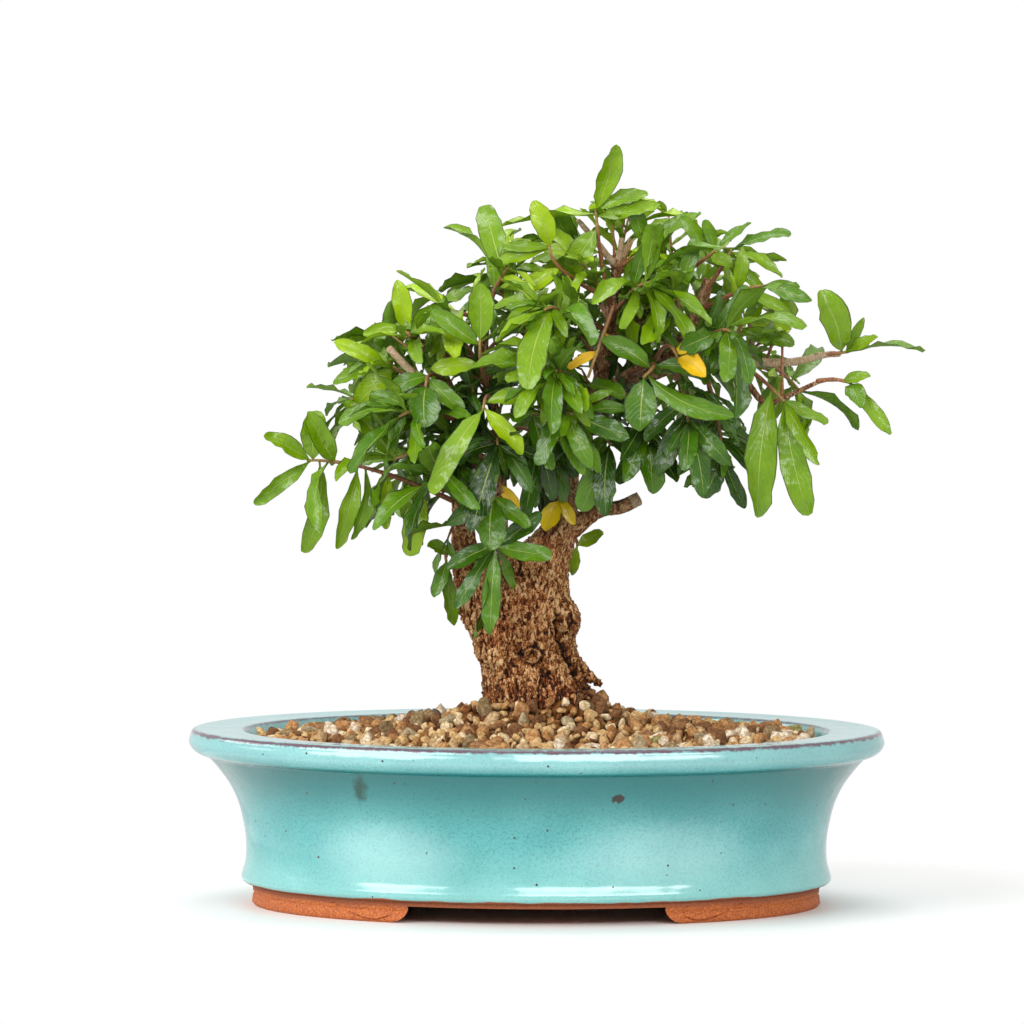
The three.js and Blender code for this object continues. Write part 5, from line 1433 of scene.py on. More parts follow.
SHOOTS = {
    "yellow_leaves": Shoot(
        ((43, -8.5, 202), (48, -38, 209), (52, -46, 204)), 0.2, ((1, 62.5, 197.5, 8), (0.85, 58, 210, 5))
    ),
    "right_reach": Shoot(
        ((103, -14.5, 205.2), (110, -16, 206.2), (115, -17, 206.8)), 0.36,
        ((0.8, 104.6, 229.8, 12.3), (1, 121.4, 219.8, 4), (0.9, 126.6, 212.7, 5), (1, 144.5, 207.5, 4)),
    ),
    "crown_top": Shoot(
        ((27, -4, 222), (23, -16, 244), (21.3, -19, 260)), 0.2,
        (
            (1, 28.9, 283.9, 9), (0.97, 40.8, 265.6, 6), (0.9, 45.3, 261.6, 7), (0.93, -14, 253.5, 4.5),
            (0.75, 10.3, 235, 10), (0.5, 2, 244, 8),
        ),
    ),
    "crown_left": Shoot(
        ((27.5, -5, 226), (10, -20, 236), (4, -24, 246)), 0.15,
        (
            (1, -2, 263, 9), (0.97, -13.6, 245.2, 5), (0.95, -18.5, 237.3, 6), (0.6, -8, 226, 8),
            (0.5, 14, 216, 8),
        ),
    ),
    "crown_right": Shoot(
        ((29, -8, 238), (36, -14, 242), (39, -15, 246.5)), 0.3,
        ((1, 34.5, 261.6, 7), (1, 60.6, 258.6, 6), (0.7, 52, 236, 8), (0.9, 48, 250, 7)),
    ),
    "upper_right": Shoot(
        ((50, -10, 234), (60, -22, 240), (66, -26, 245)), 0.35,
        ((0.7, 53, 257.5, 6), (1, 79.2, 255, 4), (1, 61.7, 256, 5), (0.8, 72, 238, 7)),
    ),
    "upper_right_outer": Shoot(
        ((60, -16, 226), (68, -22, 238), (72, -24, 245)), 0.4,
        ((1, 94.2, 251, 4.5), (0.9, 91, 234.5, 5), (0.8, 84, 229, 5), (0.5, 60, 248, 7)),
    ),
    "right_curl": Shoot(
        ((60, -16, 222), (74, -28, 229), (84, -30, 231.5)), 0.35,
        ((1, 102, 226, 6), (1, 97.5, 231, 4.5), (0.6, 94, 222, 5), (0.5, 76, 246, 6)),
    ),
    "right_shoulder": Shoot(
        ((73, -11, 203.7), (74, -19, 213), (77.4, -21, 218)), 0.3,
        ((1, 65, 225.7, 9), (1, 94.5, 215.3, 6), (0.6, 95.6, 209.5, 7.5), (0.9, 86, 228, 6)),
    ),
    "right_fold": Shoot(
        ((104, -23.6, 195.8), (111, -27, 196.5), (117, -29, 195)), 0.3,
        ((1, 120.5, 186, 8), (1, 131.5, 176, 6), (0.7, 124, 198, 5)),
    ),
    "right_hang": Shoot(
        ((76, -12, 202), (84, -30, 196), (92, -36, 188)), 0.28,
        ((1, 101, 145.6, 11), (0.97, 105, 164.6, 5.5), (0.7, 82, 144.8, 13), (0.95, 108.3, 180.3, 5.5)),
    ),
    "right_inner_low": Shoot(
        ((60, -12, 206), (66, -26, 186), (69, -30, 168)), 0.72,
        ((1, 77.4, 148.2, 6), (0.95, 62, 152, 8), (0.8, 82, 160, 8), (0.6, 54, 164, 8)),
    ),
    "right_mid": Shoot(
        ((50, -11, 206), (54, -34, 192), (56, -42, 180)), 0.85,
        ((1, 62, 152, 9), (0.9, 72, 164, 8), (0.8, 45, 160, 9)), pairs=1,
    ),
    "front_right_long": Shoot(
        ((34, -6, 198), (43, -38, 202), (39, -48, 197)), 0.48,
        ((1, 38, 177, 13.5), (0.9, 73, 182.5, 6.5), (0.75, 23.5, 211.5, 8.5), (0.6, 62, 200, 7)),
    ),
    "low_right_center": Shoot(
        ((26, -3, 194), (38, -24, 186), (42, -30, 173)), 0.8,
        ((1, 43, 153.5, 10), (0.9, 52, 158, 8), (0.7, 32, 158, 9)),
    ),
    "low_center": Shoot(
        ((14, 2, 174), (22, -20, 176), (27, -28, 171.7)), 0.72,
        ((0.85, 16.2, 147, 10.5), (1, 25.5, 145.2, 9)),
    ),
    "front_center": Shoot(
        ((-15, -4, 182), (2, -38, 184), (14.5, -44, 183)), 0.5,
        ((1, 34, 174.3, 9.7), (0.85, 20, 163, 8), (0.7, 0, 164, 8), (0.5, 2, 198, 7)), pairs=1,
    ),
    "yellowing_leaf": Shoot(
        ((12.3, 2, 160), (9, -10, 157), (8, -13, 151)), 0, ((1, 3, 139.5, 8.5), (0.9, 14, 142, 5))
    ),
    "behind_trunk": Shoot(
        ((11, 3, 138), (14, 12, 137), (15, 14, 134)), 0.2, ((1, 24.4, 139.6, 6), (1, 13, 123, 6))
    ),
    "lower_front": Shoot(
        ((-13.5, 2, 142), (-14.5, -22, 138), (-15.8, -28, 133.3)), 0.66,
        (
            (1, 1.3, 146.7, 7.5), (1, 5.4, 130.3, 8), (0.97, 2, 125, 5.5), (0.93, -8.8, 118, 4.5),
            (0.9, -33.7, 125, 7.5), (0.8, -30.8, 110.1, 6.5), (1, -23.7, 99.3, 5), (1, -17.7, 100.5, 8),
        ),
    ),
    "lower_front_high": Shoot(
        ((-14, 2, 154), (-15, -24, 156), (-16.5, -34, 151.2)), 0.74,
        ((1, -17.7, 132.2, 13.4), (0.9, -3, 141, 7), (0.85, -34, 142, 7)),
    ),
    "front_stem": Shoot(
        ((-14, 0, 171), (-15, -28, 174), (-15, -38, 171.7)), 0.95,
        ((1, -24.8, 138.9, 11.6), (0.8, -2, 154, 7), (0.9, -36, 162, 7)),
    ),
    "left_low": Shoot(
        ((-27.2, -2, 135), (-33, -10, 132), (-34, -12, 128)), 0.45,
        ((1, -38.6, 114.6, 6), (0.6, -41.2, 134, 6), (0.9, -31, 104, 6)),
    ),
    "bright_left": Shoot(
        ((-17, -4, 186), (-19, -38, 190), (-20.7, -48, 184.4)), 0.14,
        ((1, -40, 153.4, 9), (0.9, -6, 168, 8), (0.8, -2, 190, 7)),
    ),
    "front_left_fan": Shoot(
        ((-17.5, -7, 191), (-21, -36, 200), (-21.8, -44, 211)), 0.28,
        (
            (1, -21.8, 232, 10.5), (0.75, 1.3, 208, 3.5), (1, 8.8, 229, 4), (0.9, -40, 222, 8),
            (0.6, -40, 200, 8),
        ),
    ),
    "left_round": Shoot(
        ((-34, -16, 196), (-40, -32, 198), (-42, -38, 193)), 0.62,
        ((1, -42.3, 178, 13), (0.7, -28, 184, 8), (0.6, -56, 192, 7)),
    ),
    "left_high": Shoot(
        ((-38, -19, 203), (-46, -26, 211), (-50, -27, 214)), 0.2,
        ((1, -52.8, 233.2, 8), (1, -65.5, 213, 5.5), (0.7, -36, 224, 7)),
    ),
    "left_crest": Shoot(
        ((-31, -13, 188), (-48, -22, 197), (-57, -24, 202)), 0.26,
        ((1, -76.3, 210, 7.5), (0.95, -76.6, 194.4, 6), (0.8, -68.4, 186, 10.5)), pairs=1,
    ),
    "left_inner": Shoot(
        ((-27, -4, 163), (-42, -24, 168), (-54, -28, 166)), 0.34,
        ((1, -72.5, 187.8, 9.7), (0.9, -62, 192, 8)), pairs=1,
    ),
    "left_reach": Shoot(
        ((-28, -3, 149), (-60.6, -14, 162), (-86.3, -18, 165.7)), 0.32,
        (
            (1, -102.4, 175, 7.5), (1, -106, 149.3, 5.6), (0.95, -82.6, 184.4, 10), (0.9, -87.1, 131, 6.7),
            (0.84, -80.7, 138, 5.6), (0.78, -86, 184, 9), (0.62, -75, 132.5, 6.7), (0.57, -69.5, 136, 5),
            (0.46, -58.5, 144.8, 5.5), (0.42, -56.9, 140, 5), (0.36, -64.7, 142.2, 6),
            (0.3, -49.4, 143.3, 5), (0.24, -47.5, 129.9, 10.5),
        ),
    ),
    "top_left_outer": Shoot(((-19, -12, 216), (-29, -24, 221), (-36, -28, 221)), 0.2, pairs=3, length=24),
    "top_left": Shoot(((-19, -12, 221), (-15, -20, 232), (-11, -24, 238)), 0.2, pairs=2, length=28),
    "front_high": Shoot(((26, -4, 214), (10, -38, 222), (2, -48, 222)), 0.34, pairs=3, length=30),
    "front_mid": Shoot(((20, -2, 188), (10, -40, 198), (6, -54, 199)), 0.42, pairs=3, length=28),
    "front_right_high": Shoot(((27, -4, 219), (36, -34, 230), (42, -42, 232)), 0.4, pairs=3, length=28),
    "front_right_mid": Shoot(((57, -12, 206.5), (66, -36, 214), (72, -44, 214)), 0.5, pairs=3, length=28),
    "right_top": Shoot(((54, -13, 212), (52, -30, 224), (50, -36, 230)), 0.4, pairs=2, length=28),
    "left_mid_front": Shoot(((-26, -9, 179), (-42, -36, 184), (-52, -42, 182)), 0.46, pairs=3, length=28),
    "left_low_front": Shoot(((-24, -6, 169), (-33, -32, 164), (-38, -38, 158)), 0.6, pairs=2, length=27),
    "back_top": Shoot(((27, -3, 217), (18, 16, 236), (14, 22, 246)), 0.3, pairs=3, length=28),
    "back_top_left": Shoot(((-5, 44.5, 214), (-14, 38, 230), (-18, 34, 240)), 0.3, pairs=2, length=28),
    "back_center": Shoot(((2, 36, 203), (0, 54, 208), (0, 64, 206)), 0.35, pairs=3, length=30),
    "back_center_low": Shoot(((9, 19, 188), (8, 42, 184), (6, 54, 176)), 0.5, pairs=2, length=28),
    "back_left_outer": Shoot(((-58, 35.5, 189.5), (-64, 40, 190), (-70, 42, 188)), 0.3, pairs=3, length=22),
    "back_left_high": Shoot(((-44, 29, 183), (-50, 34, 202), (-52, 32, 212)), 0.3, pairs=2, length=28),
    "back_left_low": Shoot(((-38, 25, 179), (-44, 44, 168), (-48, 50, 160)), 0.5, pairs=2, length=28),
    "back_right_outer": Shoot(((72, 43, 204), (80, 46, 202), (86, 48, 200)), 0.3, pairs=3, length=24),
    "back_right_high": Shoot(((54, 35, 201.5), (58, 34, 222), (60, 30, 234)), 0.3, pairs=2, length=28),
    "back_right_low": Shoot(((48, 30, 199.5), (60, 50, 188), (66, 54, 176)), 0.5, pairs=2, length=28),
    "back_inner": Shoot(((30, 11, 193.5), (28, 38, 212), (26, 48, 220)), 0.35, pairs=2, length=28),
    "side_right": Shoot(((86, -12, 203), (92, 8, 198), (98, 18, 192)), 0.35, pairs=2, length=28),
    "side_left": Shoot(((-31, -12.5, 187), (-44, 4, 198), (-54, 8, 204)), 0.35, pairs=2, length=28),
}

UP = np.array([0.0, 0.0, 1.0])
FRONT = np.array([0.0, -1.0, 0.4])  # the leaves whose tips are listed face this way
CANOPY_CENTRE = np.array([5.0, 0.0, 175.0])
CANOPY_HALF = np.array([112.0, 66.0, 84.0])

# What the solids try in turn until a leaf comes clear.
# For a leaf whose tip is listed: shift of the tip's depth, turn about the midrib.
HAND_TRIES = (
    (0, 0), (-6, 0), (6, 0), (-12, 0), (12, 0), (0, 25), (0, -25), (-9, 20), (9, -20), (-18, 0), (0, 50),
    (0, -50),
)
# For a leaf by rule: swing about the shoot, lift, turn about the midrib.
RULE_TRIES = (
    (0, 0, 0), (18, 0, 0), (-18, 0, 0), (0, 15, 0), (0, -15, 0), (32, 0, 20), (-32, 0, -20), (0, 28, 20),
    (0, -28, -20), (24, 20, 0), (-24, 20, 0), (48, 10, 0), (-48, 10, 0),
)
LEAF_SLENDER = 0.3


@dataclass
class Leaf:
    """A blade: where it starts, its own axes, and its size and shape."""

    root: Array
    along: Array
    across: Array
    out: Array
    length: float
    width: float
    phase: float
    age: float = 0.4

    @property
    def tip(self) -> Array:
        """The point at its tip."""
        return self.root + self.along * self.length

    def spots(self) -> Array:
        """A few points over the blade, away from its root, that tell where it is."""
        found = []
        for u in (0.3, 0.5, 0.72, 0.92):
            middle = self.root + self.along * (u * self.length)
            middle = middle + self.out * (0.28 * self.length * u * (1 - u))
            half = 0.3 * self.width if u < 0.9 else 0.0
            found += [middle, middle + self.across * half, middle - self.across * half]
        return np.array(found)


def leaf_between(root: Array, tip: Array, facing: Array, width: float, turn: float, phase: float) -> Leaf:
    """A leaf from its root and tip.

    Args:
        root: where it leaves its shoot.
        tip: its far end.
        facing: where its upper face looks, before the turn.
        width: its widest.
        turn: degrees that it turns about its midrib.
        phase: where along it the waves of its margin start, from 0 to 1.

    Returns:
        The leaf.
    """
    length = float(np.linalg.norm(tip - root))
    along = (tip - root) / length
    out = turned(unit(facing - along * np.dot(facing, along)), along, turn)
    return Leaf(root, along, np.cross(along, out), out, length, width, phase)


@dataclass
class Blade:
    """How a leaf's blade is drawn: its outline, its waves and its thickness."""

    stations: tuple[float, ...] = (0.0, 0.05, 0.12, 0.21, 0.32, 0.44, 0.56, 0.68, 0.79, 0.88, 0.945, 0.985)
    columns: tuple[float, ...] = (-1.0, -0.55, 0.0, 0.55, 1.0)
    stalk: float = 0.42
    arch: float = 0.08
    fold: float = 0.34
    wave: float = 0.036
    ruffle: float = 0.021
    twist: float = 55.0
    thickness: float = 0.5

    def half_width(self, leaf: Leaf, u: Array) -> Array:
        """Half width of the blade at u along it: a short stalk, widest past the middle, blunt at the tip."""
        blunt = 0.5 + 0.15 * math.sin(12.0 * leaf.phase)
        bare = np.sin(math.pi * u ** (1.32 + 0.12 * math.sin(31.0 * leaf.phase)))
        full = 0.47 * leaf.width * np.maximum(bare, 0.0) ** blunt
        return np.maximum(
            full * smooth_step(0.0, 0.22, u) ** 0.6, self.stalk * (1 - smooth_step(0.1, 0.3, u))
        )

    def points(self, leaf: Leaf) -> Array:
        """The rings of the blade: the upper face from left to right, then back along the underside.

        Args:
            leaf: the leaf.

        Returns:
            Points, ring by ring, and the tip last.
        """
        u = np.array(self.stations)[:, None]
        side = np.array(self.columns + self.columns[-2:0:-1])[None, :]
        under = np.array([0.0] * len(self.columns) + [1.0] * (len(self.columns) - 2))[None, :]
        half = self.half_width(leaf, u)
        turns = 2 * math.pi * leaf.phase
        notched = half * (1 + 0.05 * np.sin(34 * u + turns + 2 * side))
        waves = self.wave * leaf.length * np.sin(2 * math.pi * 1.6 * u + turns + side) * np.abs(side)
        waves = waves + self.ruffle * leaf.length * np.sin(
            2 * math.pi * 4.4 * u + 2.3 * turns + 2 * side
        ) * side**2
        taper = smooth_step(0.0, 0.3, u) * (1 - smooth_step(0.93, 1.0, u))
        arch = self.arch * (1 + 0.7 * math.sin(17 * leaf.phase)) * leaf.length * 4 * u * (1 - u)
        fold = self.fold * (1 + 0.6 * math.cos(23 * leaf.phase)) * half * np.abs(side) ** 1.4
        bow = 0.04 * leaf.length * math.sin(9 * leaf.phase) * np.sin(math.pi * u)
        thick = self.thickness * (1.3 - 0.5 * u) * (1 - 0.55 * side**2)
        turn = math.radians(self.twist) * math.sin(41 * leaf.phase) * (u - 0.35)
        sideways, lift = side * notched, fold + waves * taper - under * thick
        across = bow + sideways * np.cos(turn) - lift * np.sin(turn)
        out = arch + sideways * np.sin(turn) + lift * np.cos(turn)
        where = (
            leaf.root
            + (u * leaf.length)[..., None] * leaf.along
            + across[..., None] * leaf.across
            + out[..., None] * leaf.out
        )
        return np.vstack([where.reshape(-1, 3), leaf.tip])


class FoliageMesh:
    """Gathers rods and blades into one mesh with what their finishes read."""

    def __init__(self) -> None:
        """Starts an empty mesh."""
        self.points: list[Array] = []
        self.count = 0
        self.faces: list[Face] = []
        self.places: list[Pair] = []
        self.ages: list[Array] = []
        self.under: list[float] = []
        self.indices: list[int] = []
        self.margins: list[tuple[int, int]] = []
        self.blade = Blade()

    def add_rod(self, route: Array, radii: Array, sides: int = 7) -> None:
        """Adds a stem.

        Args:
            route: rows of x, y, z.
            radii: its radius at each row.
            sides: points round it.
        """
        points, faces = rod(route, radii, sides)
        self.faces += [tuple(self.count + corner for corner in face) for face in faces]
        self.places += [(0.0, 0.5)] * sum(len(face) for face in faces)
        share = np.repeat(np.linspace(0, 1, len(route)), sides)
        self.ages.append(np.concatenate([share, [0.0, 1.0]]))
        self.under += [Side.UPPER.value] * len(faces)
        self.indices += [0] * len(faces)
        self.points.append(points)
        self.count += len(points)

    def add_leaf(self, leaf: Leaf) -> None:
        """Adds a blade.

        Args:
            leaf: the leaf.
        """
        blade = self.blade
        points = blade.points(leaf)
        upper = len(blade.columns)
        ring = 2 * upper - 2
        across = [(1 + side) / 2 for side in blade.columns + blade.columns[-2:0:-1]]
        stations = (*blade.stations, 1.0)
        tip = self.count + len(points) - 1
        for row in range(len(blade.stations)):
            base = self.count + row * ring
            for corner in range(ring):
                following = (corner + 1) % ring
                pair = (across[corner], across[following])
                if row + 1 < len(blade.stations):
                    face = (base + corner, base + following, base + ring + following, base + ring + corner)
                    spots = [
                        (stations[row], pair[0]), (stations[row], pair[1]), (stations[row + 1], pair[1]),
                        (stations[row + 1], pair[0]),
                    ]
                else:
                    face = (base + corner, base + following, tip)
                    spots = [(stations[row], pair[0]), (stations[row], pair[1]), (1.0, sum(pair) / 2)]
                self.faces.append(face)
                self.places += spots
                self.under.append((Side.UPPER if corner < upper - 1 else Side.UNDER).value)
                self.indices.append(1)
            for edge in (base, base + upper - 1):
                self.margins.append((edge, edge + ring if row + 1 < len(blade.stations) else tip))
        self.faces.append(tuple(self.count + corner for corner in range(ring - 1, -1, -1)))
        self.places += [(0.0, across[corner]) for corner in range(ring - 1, -1, -1)]
        self.under.append(Side.UNDER.value)
        self.indices.append(1)
        self.ages.append(np.full(len(points), leaf.age))
        self.points.append(points)
        self.count += len(points)

    def dress(self, name: str, finish: Finish, *nodes: str) -> None:
        """Makes the piece, with young bark on its rods.

        Args:
            name: the piece's name.
            finish: what its leaves are made of.
            nodes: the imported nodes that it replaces.
        """
        made = mesh_object(name, np.vstack(self.points), self.faces)
        mesh = made.data
        mesh.uv_layers.new(name="blade").data.foreach_set(
            "uv", np.array(self.places, dtype=np.float32).ravel()
        )
        store(made, "blade_tone", np.concatenate(self.ages))
        store(made, "underside", self.under, "FACE")
        mesh.polygons.foreach_set("material_index", np.array(self.indices, dtype=np.int32))
        ends = np.empty(2 * len(mesh.edges), dtype=np.int32)
        mesh.edges.foreach_get("vertices", ends)
        keys = {tuple(sorted(pair)) for pair in self.margins}
        sharp = [tuple(sorted(pair)) in keys for pair in ends.reshape(-1, 2).tolist()]
        mesh.attributes.new("sharp_edge", "BOOLEAN", "EDGE").data.foreach_set("value", sharp)
        dress(made, "leaf_green" if finish is LEAF else "leaf_yellow", [TWIG, finish], *nodes)


class Crowd:
    """Which small cells of space already hold a leaf or wood."""

    CELL = 2.5

    def __init__(self) -> None:
        """Starts with no cell taken."""
        self.taken: set[tuple[int, int, int]] = set()

    def cells(self, spots: Array) -> set[tuple[int, int, int]]:
        """The cells that hold the given points."""
        return set(map(tuple, np.floor(spots / self.CELL).astype(int).tolist()))

    def add(self, spots: Array) -> None:
        """Takes the cells that hold the given points."""
        self.taken |= self.cells(spots)

    def clashes(self, spots: Array) -> int:
        """How many cells of the given points are taken."""
        return len(self.cells(spots) & self.taken)


@dataclass
class Canopy:
    """All green shoots with their leaves, and the small sprigs between them."""

    trunk: Trunk
    crowd: Crowd = field(default_factory=Crowd)  # what later leaves keep clear of
    twig_radius: Pair = (1.0, 0.55)
    shoot_steps: int = 3
    last_leaf: float = 0.97
    leaf_angle: Pair = (45.0, 70.0)
    leaf_stray: float = 0.5
    leaf_droop: float = 0.28
    tip_match: float = 0.06
    node_pitch: float = 6.5
    extra_length: Pair = (15.0, 27.0)
    extra_clashes: int = 1
    filled_age: float = 0.55
    age_stray: float = 0.2
    # The outline that the leaves between keep to, as x and z in the upright plane through the trunk.
    outline: tuple[Pair, ...] = (
        (-69, 146), (-72, 159), (-69, 170), (-72, 181), (-69, 190), (-73, 199), (-72, 207), (-62, 213),
        (-59, 219), (-52, 216), (-47, 219), (-36, 229), (-25, 240), (-14, 248), (-3, 257), (8, 261),
        (18, 265), (23, 263), (38, 265), (48, 259), (57, 257), (64, 253), (76, 250), (87, 240), (97, 227),
        (93, 215), (90, 206), (94, 199), (101, 193), (103, 185), (98, 174), (94, 159), (86, 151), (78, 151),
        (74, 159), (61, 159), (53, 155), (44, 153), (38, 159), (31, 157), (23, 149), (14, 151), (8, 144),
        (4, 129), (-5, 121), (-12, 114), (-20, 106), (-27, 114), (-33, 121), (-37, 118), (-40, 127),
        (-36, 134), (-44, 133), (-49, 138), (-47, 146), (-57, 144), (-64, 138),
    )
    # Wood that stays in sight: the ends of each stretch as x, z of the same plane.
    bare_wood: tuple[tuple[float, float, float, float], ...] = (
        (77, 203, 117, 206), (55, 214, 63, 240), (14, 256, 30, 238), (28, 232, 33, 250), (93, 190, 107, 197),
        (78, 204, 79, 219), (-56, 208, -42, 194), (-88, 166, -36, 153), (22, 150, 39, 152),
        (18, 198, 27, 224),
    )
    bare_reach: float = 4.2
    # Limbs that bear sprigs, with the first and last share of the limb and how many.
    sprig_limbs: tuple[tuple[str, float, float, int], ...] = (
        ("leader", 0.35, 1, 24), ("inner_stem", 0.35, 1, 12), ("left_limb", 0.2, 1, 11),
        ("left_branch", 0.4, 1, 5), ("back_limb", 0.3, 1, 9), ("back_left_limb", 0.3, 1, 10),
        ("back_right_limb", 0.25, 1, 10), ("right_limb", 0.1, 0.85, 14), ("upper_right_limb", 0.2, 1, 8),
        ("lower_right_twig", 0.2, 0.9, 5),
    )
    sprig_length: Pair = (14.0, 30.0)
    sprig_thin: float = 0.72  # of a shoot's thickness
    # Thin stems in front of the crown: a route, and the tips x, z and seen widths of its leaves. First those
    # with yellowed leaves, then those with old green ones, which close the view between the limbs.
    front_stems: tuple[tuple[tuple[Spot, ...], tuple[Spot, ...]], ...] = (
        (((26, -4, 216), (27.5, -34, 222), (18.5, -52, 197)), ((34, 203.5, 6.5), (11, 200.5, 4.2))),
        (((-16, -4, 166), (-15, -24, 160), (-13, -32, 154)), ((-7, 147, 5.5),)),
    )
    fill_stems: tuple[tuple[tuple[Spot, ...], tuple[Spot, ...]], ...] = (
        (
            ((-13, 0, 172), (-6, -18, 178), (1, -24, 172)),
            ((-1, 148, 7), (6, 151, 6.5), (-9, 156, 6), (-6, 140, 7)),
        ),
        (((12, 1, 168), (9, -10, 174), (6, -14, 172)), ((9.5, 150, 6.5), (2, 156, 6), (15, 160, 6))),
        (((13, 2, 172), (10, 8, 170), (5, 10, 166)), ((2, 143, 7.5), (8, 146, 6))),
    )
    front_age: float = 0.3
    fill_age: float = 0.8

    def curve(self, shoot: Shoot) -> Curve:
        """The curve through a shoot's three points, as a function of the share along it."""
        start, middle, end = (place(spot) for spot in shoot.route)
        control = 2 * middle - start / 2 - end / 2
        return lambda t: (1 - t) ** 2 * start + 2 * t * (1 - t) * control + t * t * end

    def stem_point(self, curve: Curve, t: float) -> Array:
        """The point at t on a shoot's axis, which is straight between the solids' steps."""
        step = min(t, self.last_leaf) * self.shoot_steps
        low, high = math.floor(step), math.ceil(step)
        start, end = curve(low / self.shoot_steps), curve(high / self.shoot_steps)
        return start + (end - start) * (step - low)

    def tangent(self, curve: Curve, t: float) -> Array:
        """The unit direction of a shoot at t."""
        reach = 1e-4
        return unit(curve(min(t + reach, 1.0)) - curve(max(t - reach, 0.0)))

    def hand_tries(self, curve: Curve, leaf: Sequence[float], draws: Draws) -> list[Leaf]:
        """Every place that the solids may give a leaf whose tip is listed."""
        t, tip_x, tip_z, seen_width = leaf
        root = self.stem_point(curve, t)
        phase = draws.next()
        lean = -3 if root[1] < 0 else 3
        side = -1 if draws.next() < 0.5 else 1
        found = []
        for shift, turn in HAND_TRIES:
            tip = place((tip_x, root[1] + lean + shift, tip_z))
            width = max(seen_width, 0.8 * LEAF_SLENDER * float(np.linalg.norm(tip - root)))
            narrowed = math.degrees(math.acos(seen_width / width))
            found.append(leaf_between(root, tip, FRONT, width, side * narrowed + turn, phase))
        return found

    def rule_tries(self, curve: Curve, t: float, around: float, length: float, draws: Draws) -> list[Leaf]:
        """Every place that the solids may give one leaf of a pair."""
        root = self.stem_point(curve, t)
        angle = self.leaf_angle[0] + (self.leaf_angle[1] - self.leaf_angle[0]) * draws.next()
        leaf_length = length * (1 + self.leaf_stray * (draws.next() - 0.5))
        width = leaf_length * LEAF_SLENDER * (0.85 + 0.3 * draws.next())
        phase = draws.next()
        facing = unit(root - CANOPY_CENTRE) + UP
        stem = self.tangent(curve, t)
        found = []
        for swing, lift, turn in RULE_TRIES:
            direction = self.spread(stem, around + swing, angle - lift)
            found.append(leaf_between(root, root + direction * leaf_length, facing, width, turn, phase))
        return found

    def spread(self, stem: Array, around: float, away: float) -> Array:
        """The direction of a leaf that leaves its stem.

        Args:
            stem: unit direction of the stem.
            around: degrees about the stem.
            away: degrees from the stem.

        Returns:
            The unit direction, with the leaf's droop.
        """
        flat = unit(np.cross(stem, UP))
        upright = np.cross(flat, stem)
        spin, open_angle = math.radians(around), math.radians(away)
        direction = stem * math.cos(open_angle)
        direction = direction + (flat * math.cos(spin) + upright * math.sin(spin)) * math.sin(open_angle)
        return unit(direction - UP * self.leaf_droop)

    def solid_leaves(self, name: str, seed: int) -> list[Leaf]:
        """The leaves of one shoot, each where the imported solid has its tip.

        Args:
            name: the shoot.
            seed: what its draws start from.

        Returns:
            The leaves that the solid has.
        """
        shoot, draws = SHOOTS[name], Draws(seed)
        curve = self.curve(shoot)
        sets = [self.hand_tries(curve, leaf, draws) for leaf in shoot.leaves]
        for pair in range(shoot.pairs):
            t = 1 - pair / shoot.pairs * 0.62
            around = pair * 90 + draws.next() * 40 - 20
            sets += [self.rule_tries(curve, t, around + half, shoot.length, draws) for half in (0, 180)]
        corners = frame["nodes"][f"shoot_{name}"].data.vertices
        tree = KDTree(len(corners))
        for index, corner in enumerate(corners):
            tree.insert((np.array(corner.co) - POT_MIDDLE) / MM, index)
        tree.balance()
        found = []
        for tries in sets:
            fitting = [leaf for leaf in tries if tree.find(leaf.tip)[2] < self.tip_match]
            if fitting:
                found.append(fitting[0])
        return found

    def aged(self, leaf: Leaf, age: float | None, draws: Draws) -> Leaf:
        """Sets a leaf's age, from its shoot or from how deep in the canopy it hangs."""
        if age is None:
            middle = leaf.root + leaf.along * (leaf.length * 0.6)
            depth = float(np.linalg.norm((middle - CANOPY_CENTRE) / CANOPY_HALF))
            age = 0.82 - 0.62 * float(smooth_step(0.35, 1.0, np.array(depth)))
            age -= 0.12 * float(smooth_step(200, 250, middle[2]))
        leaf.age = min(1.0, max(0.0, age + draws.between(-self.age_stray, self.age_stray)))
        return leaf

    def hides_wood(self, spots: Array) -> bool:
        """Whether any of the points is seen from the front over wood that stays in sight."""
        seen = EYE + (spots - EYE) * (EYE[1] / (EYE[1] - spots[:, 1:2]))
        for ax, az, bx, bz in self.bare_wood:
            start, run = np.array([ax, az]), np.array([bx - ax, bz - az])
            share = np.clip((seen[:, [0, 2]] - start) @ run / (run @ run), 0, 1)
            away = np.linalg.norm(seen[:, [0, 2]] - start - share[:, None] * run, axis=1)
            if np.any((away < self.bare_reach) & (spots[:, 1] < 8)):
                return True
        return False

    def inside(self, spot: Array) -> bool:
        """Whether a point is seen from the front within the canopy's outline, and above the stump."""
        if spot[2] < 150 and abs(spot[1]) < 19 and -32 < spot[0] < 20:
            return False
        seen = EYE + (spot - EYE) * EYE[1] / (EYE[1] - spot[1])
        x, z, odd = seen[0], seen[2], False
        corners = self.outline
        for (ax, az), (bx, bz) in zip(corners, corners[1:] + corners[:1]):
            if (az > z) != (bz > z) and x < ax + (z - az) / (bz - az) * (bx - ax):
                odd = not odd
        return odd

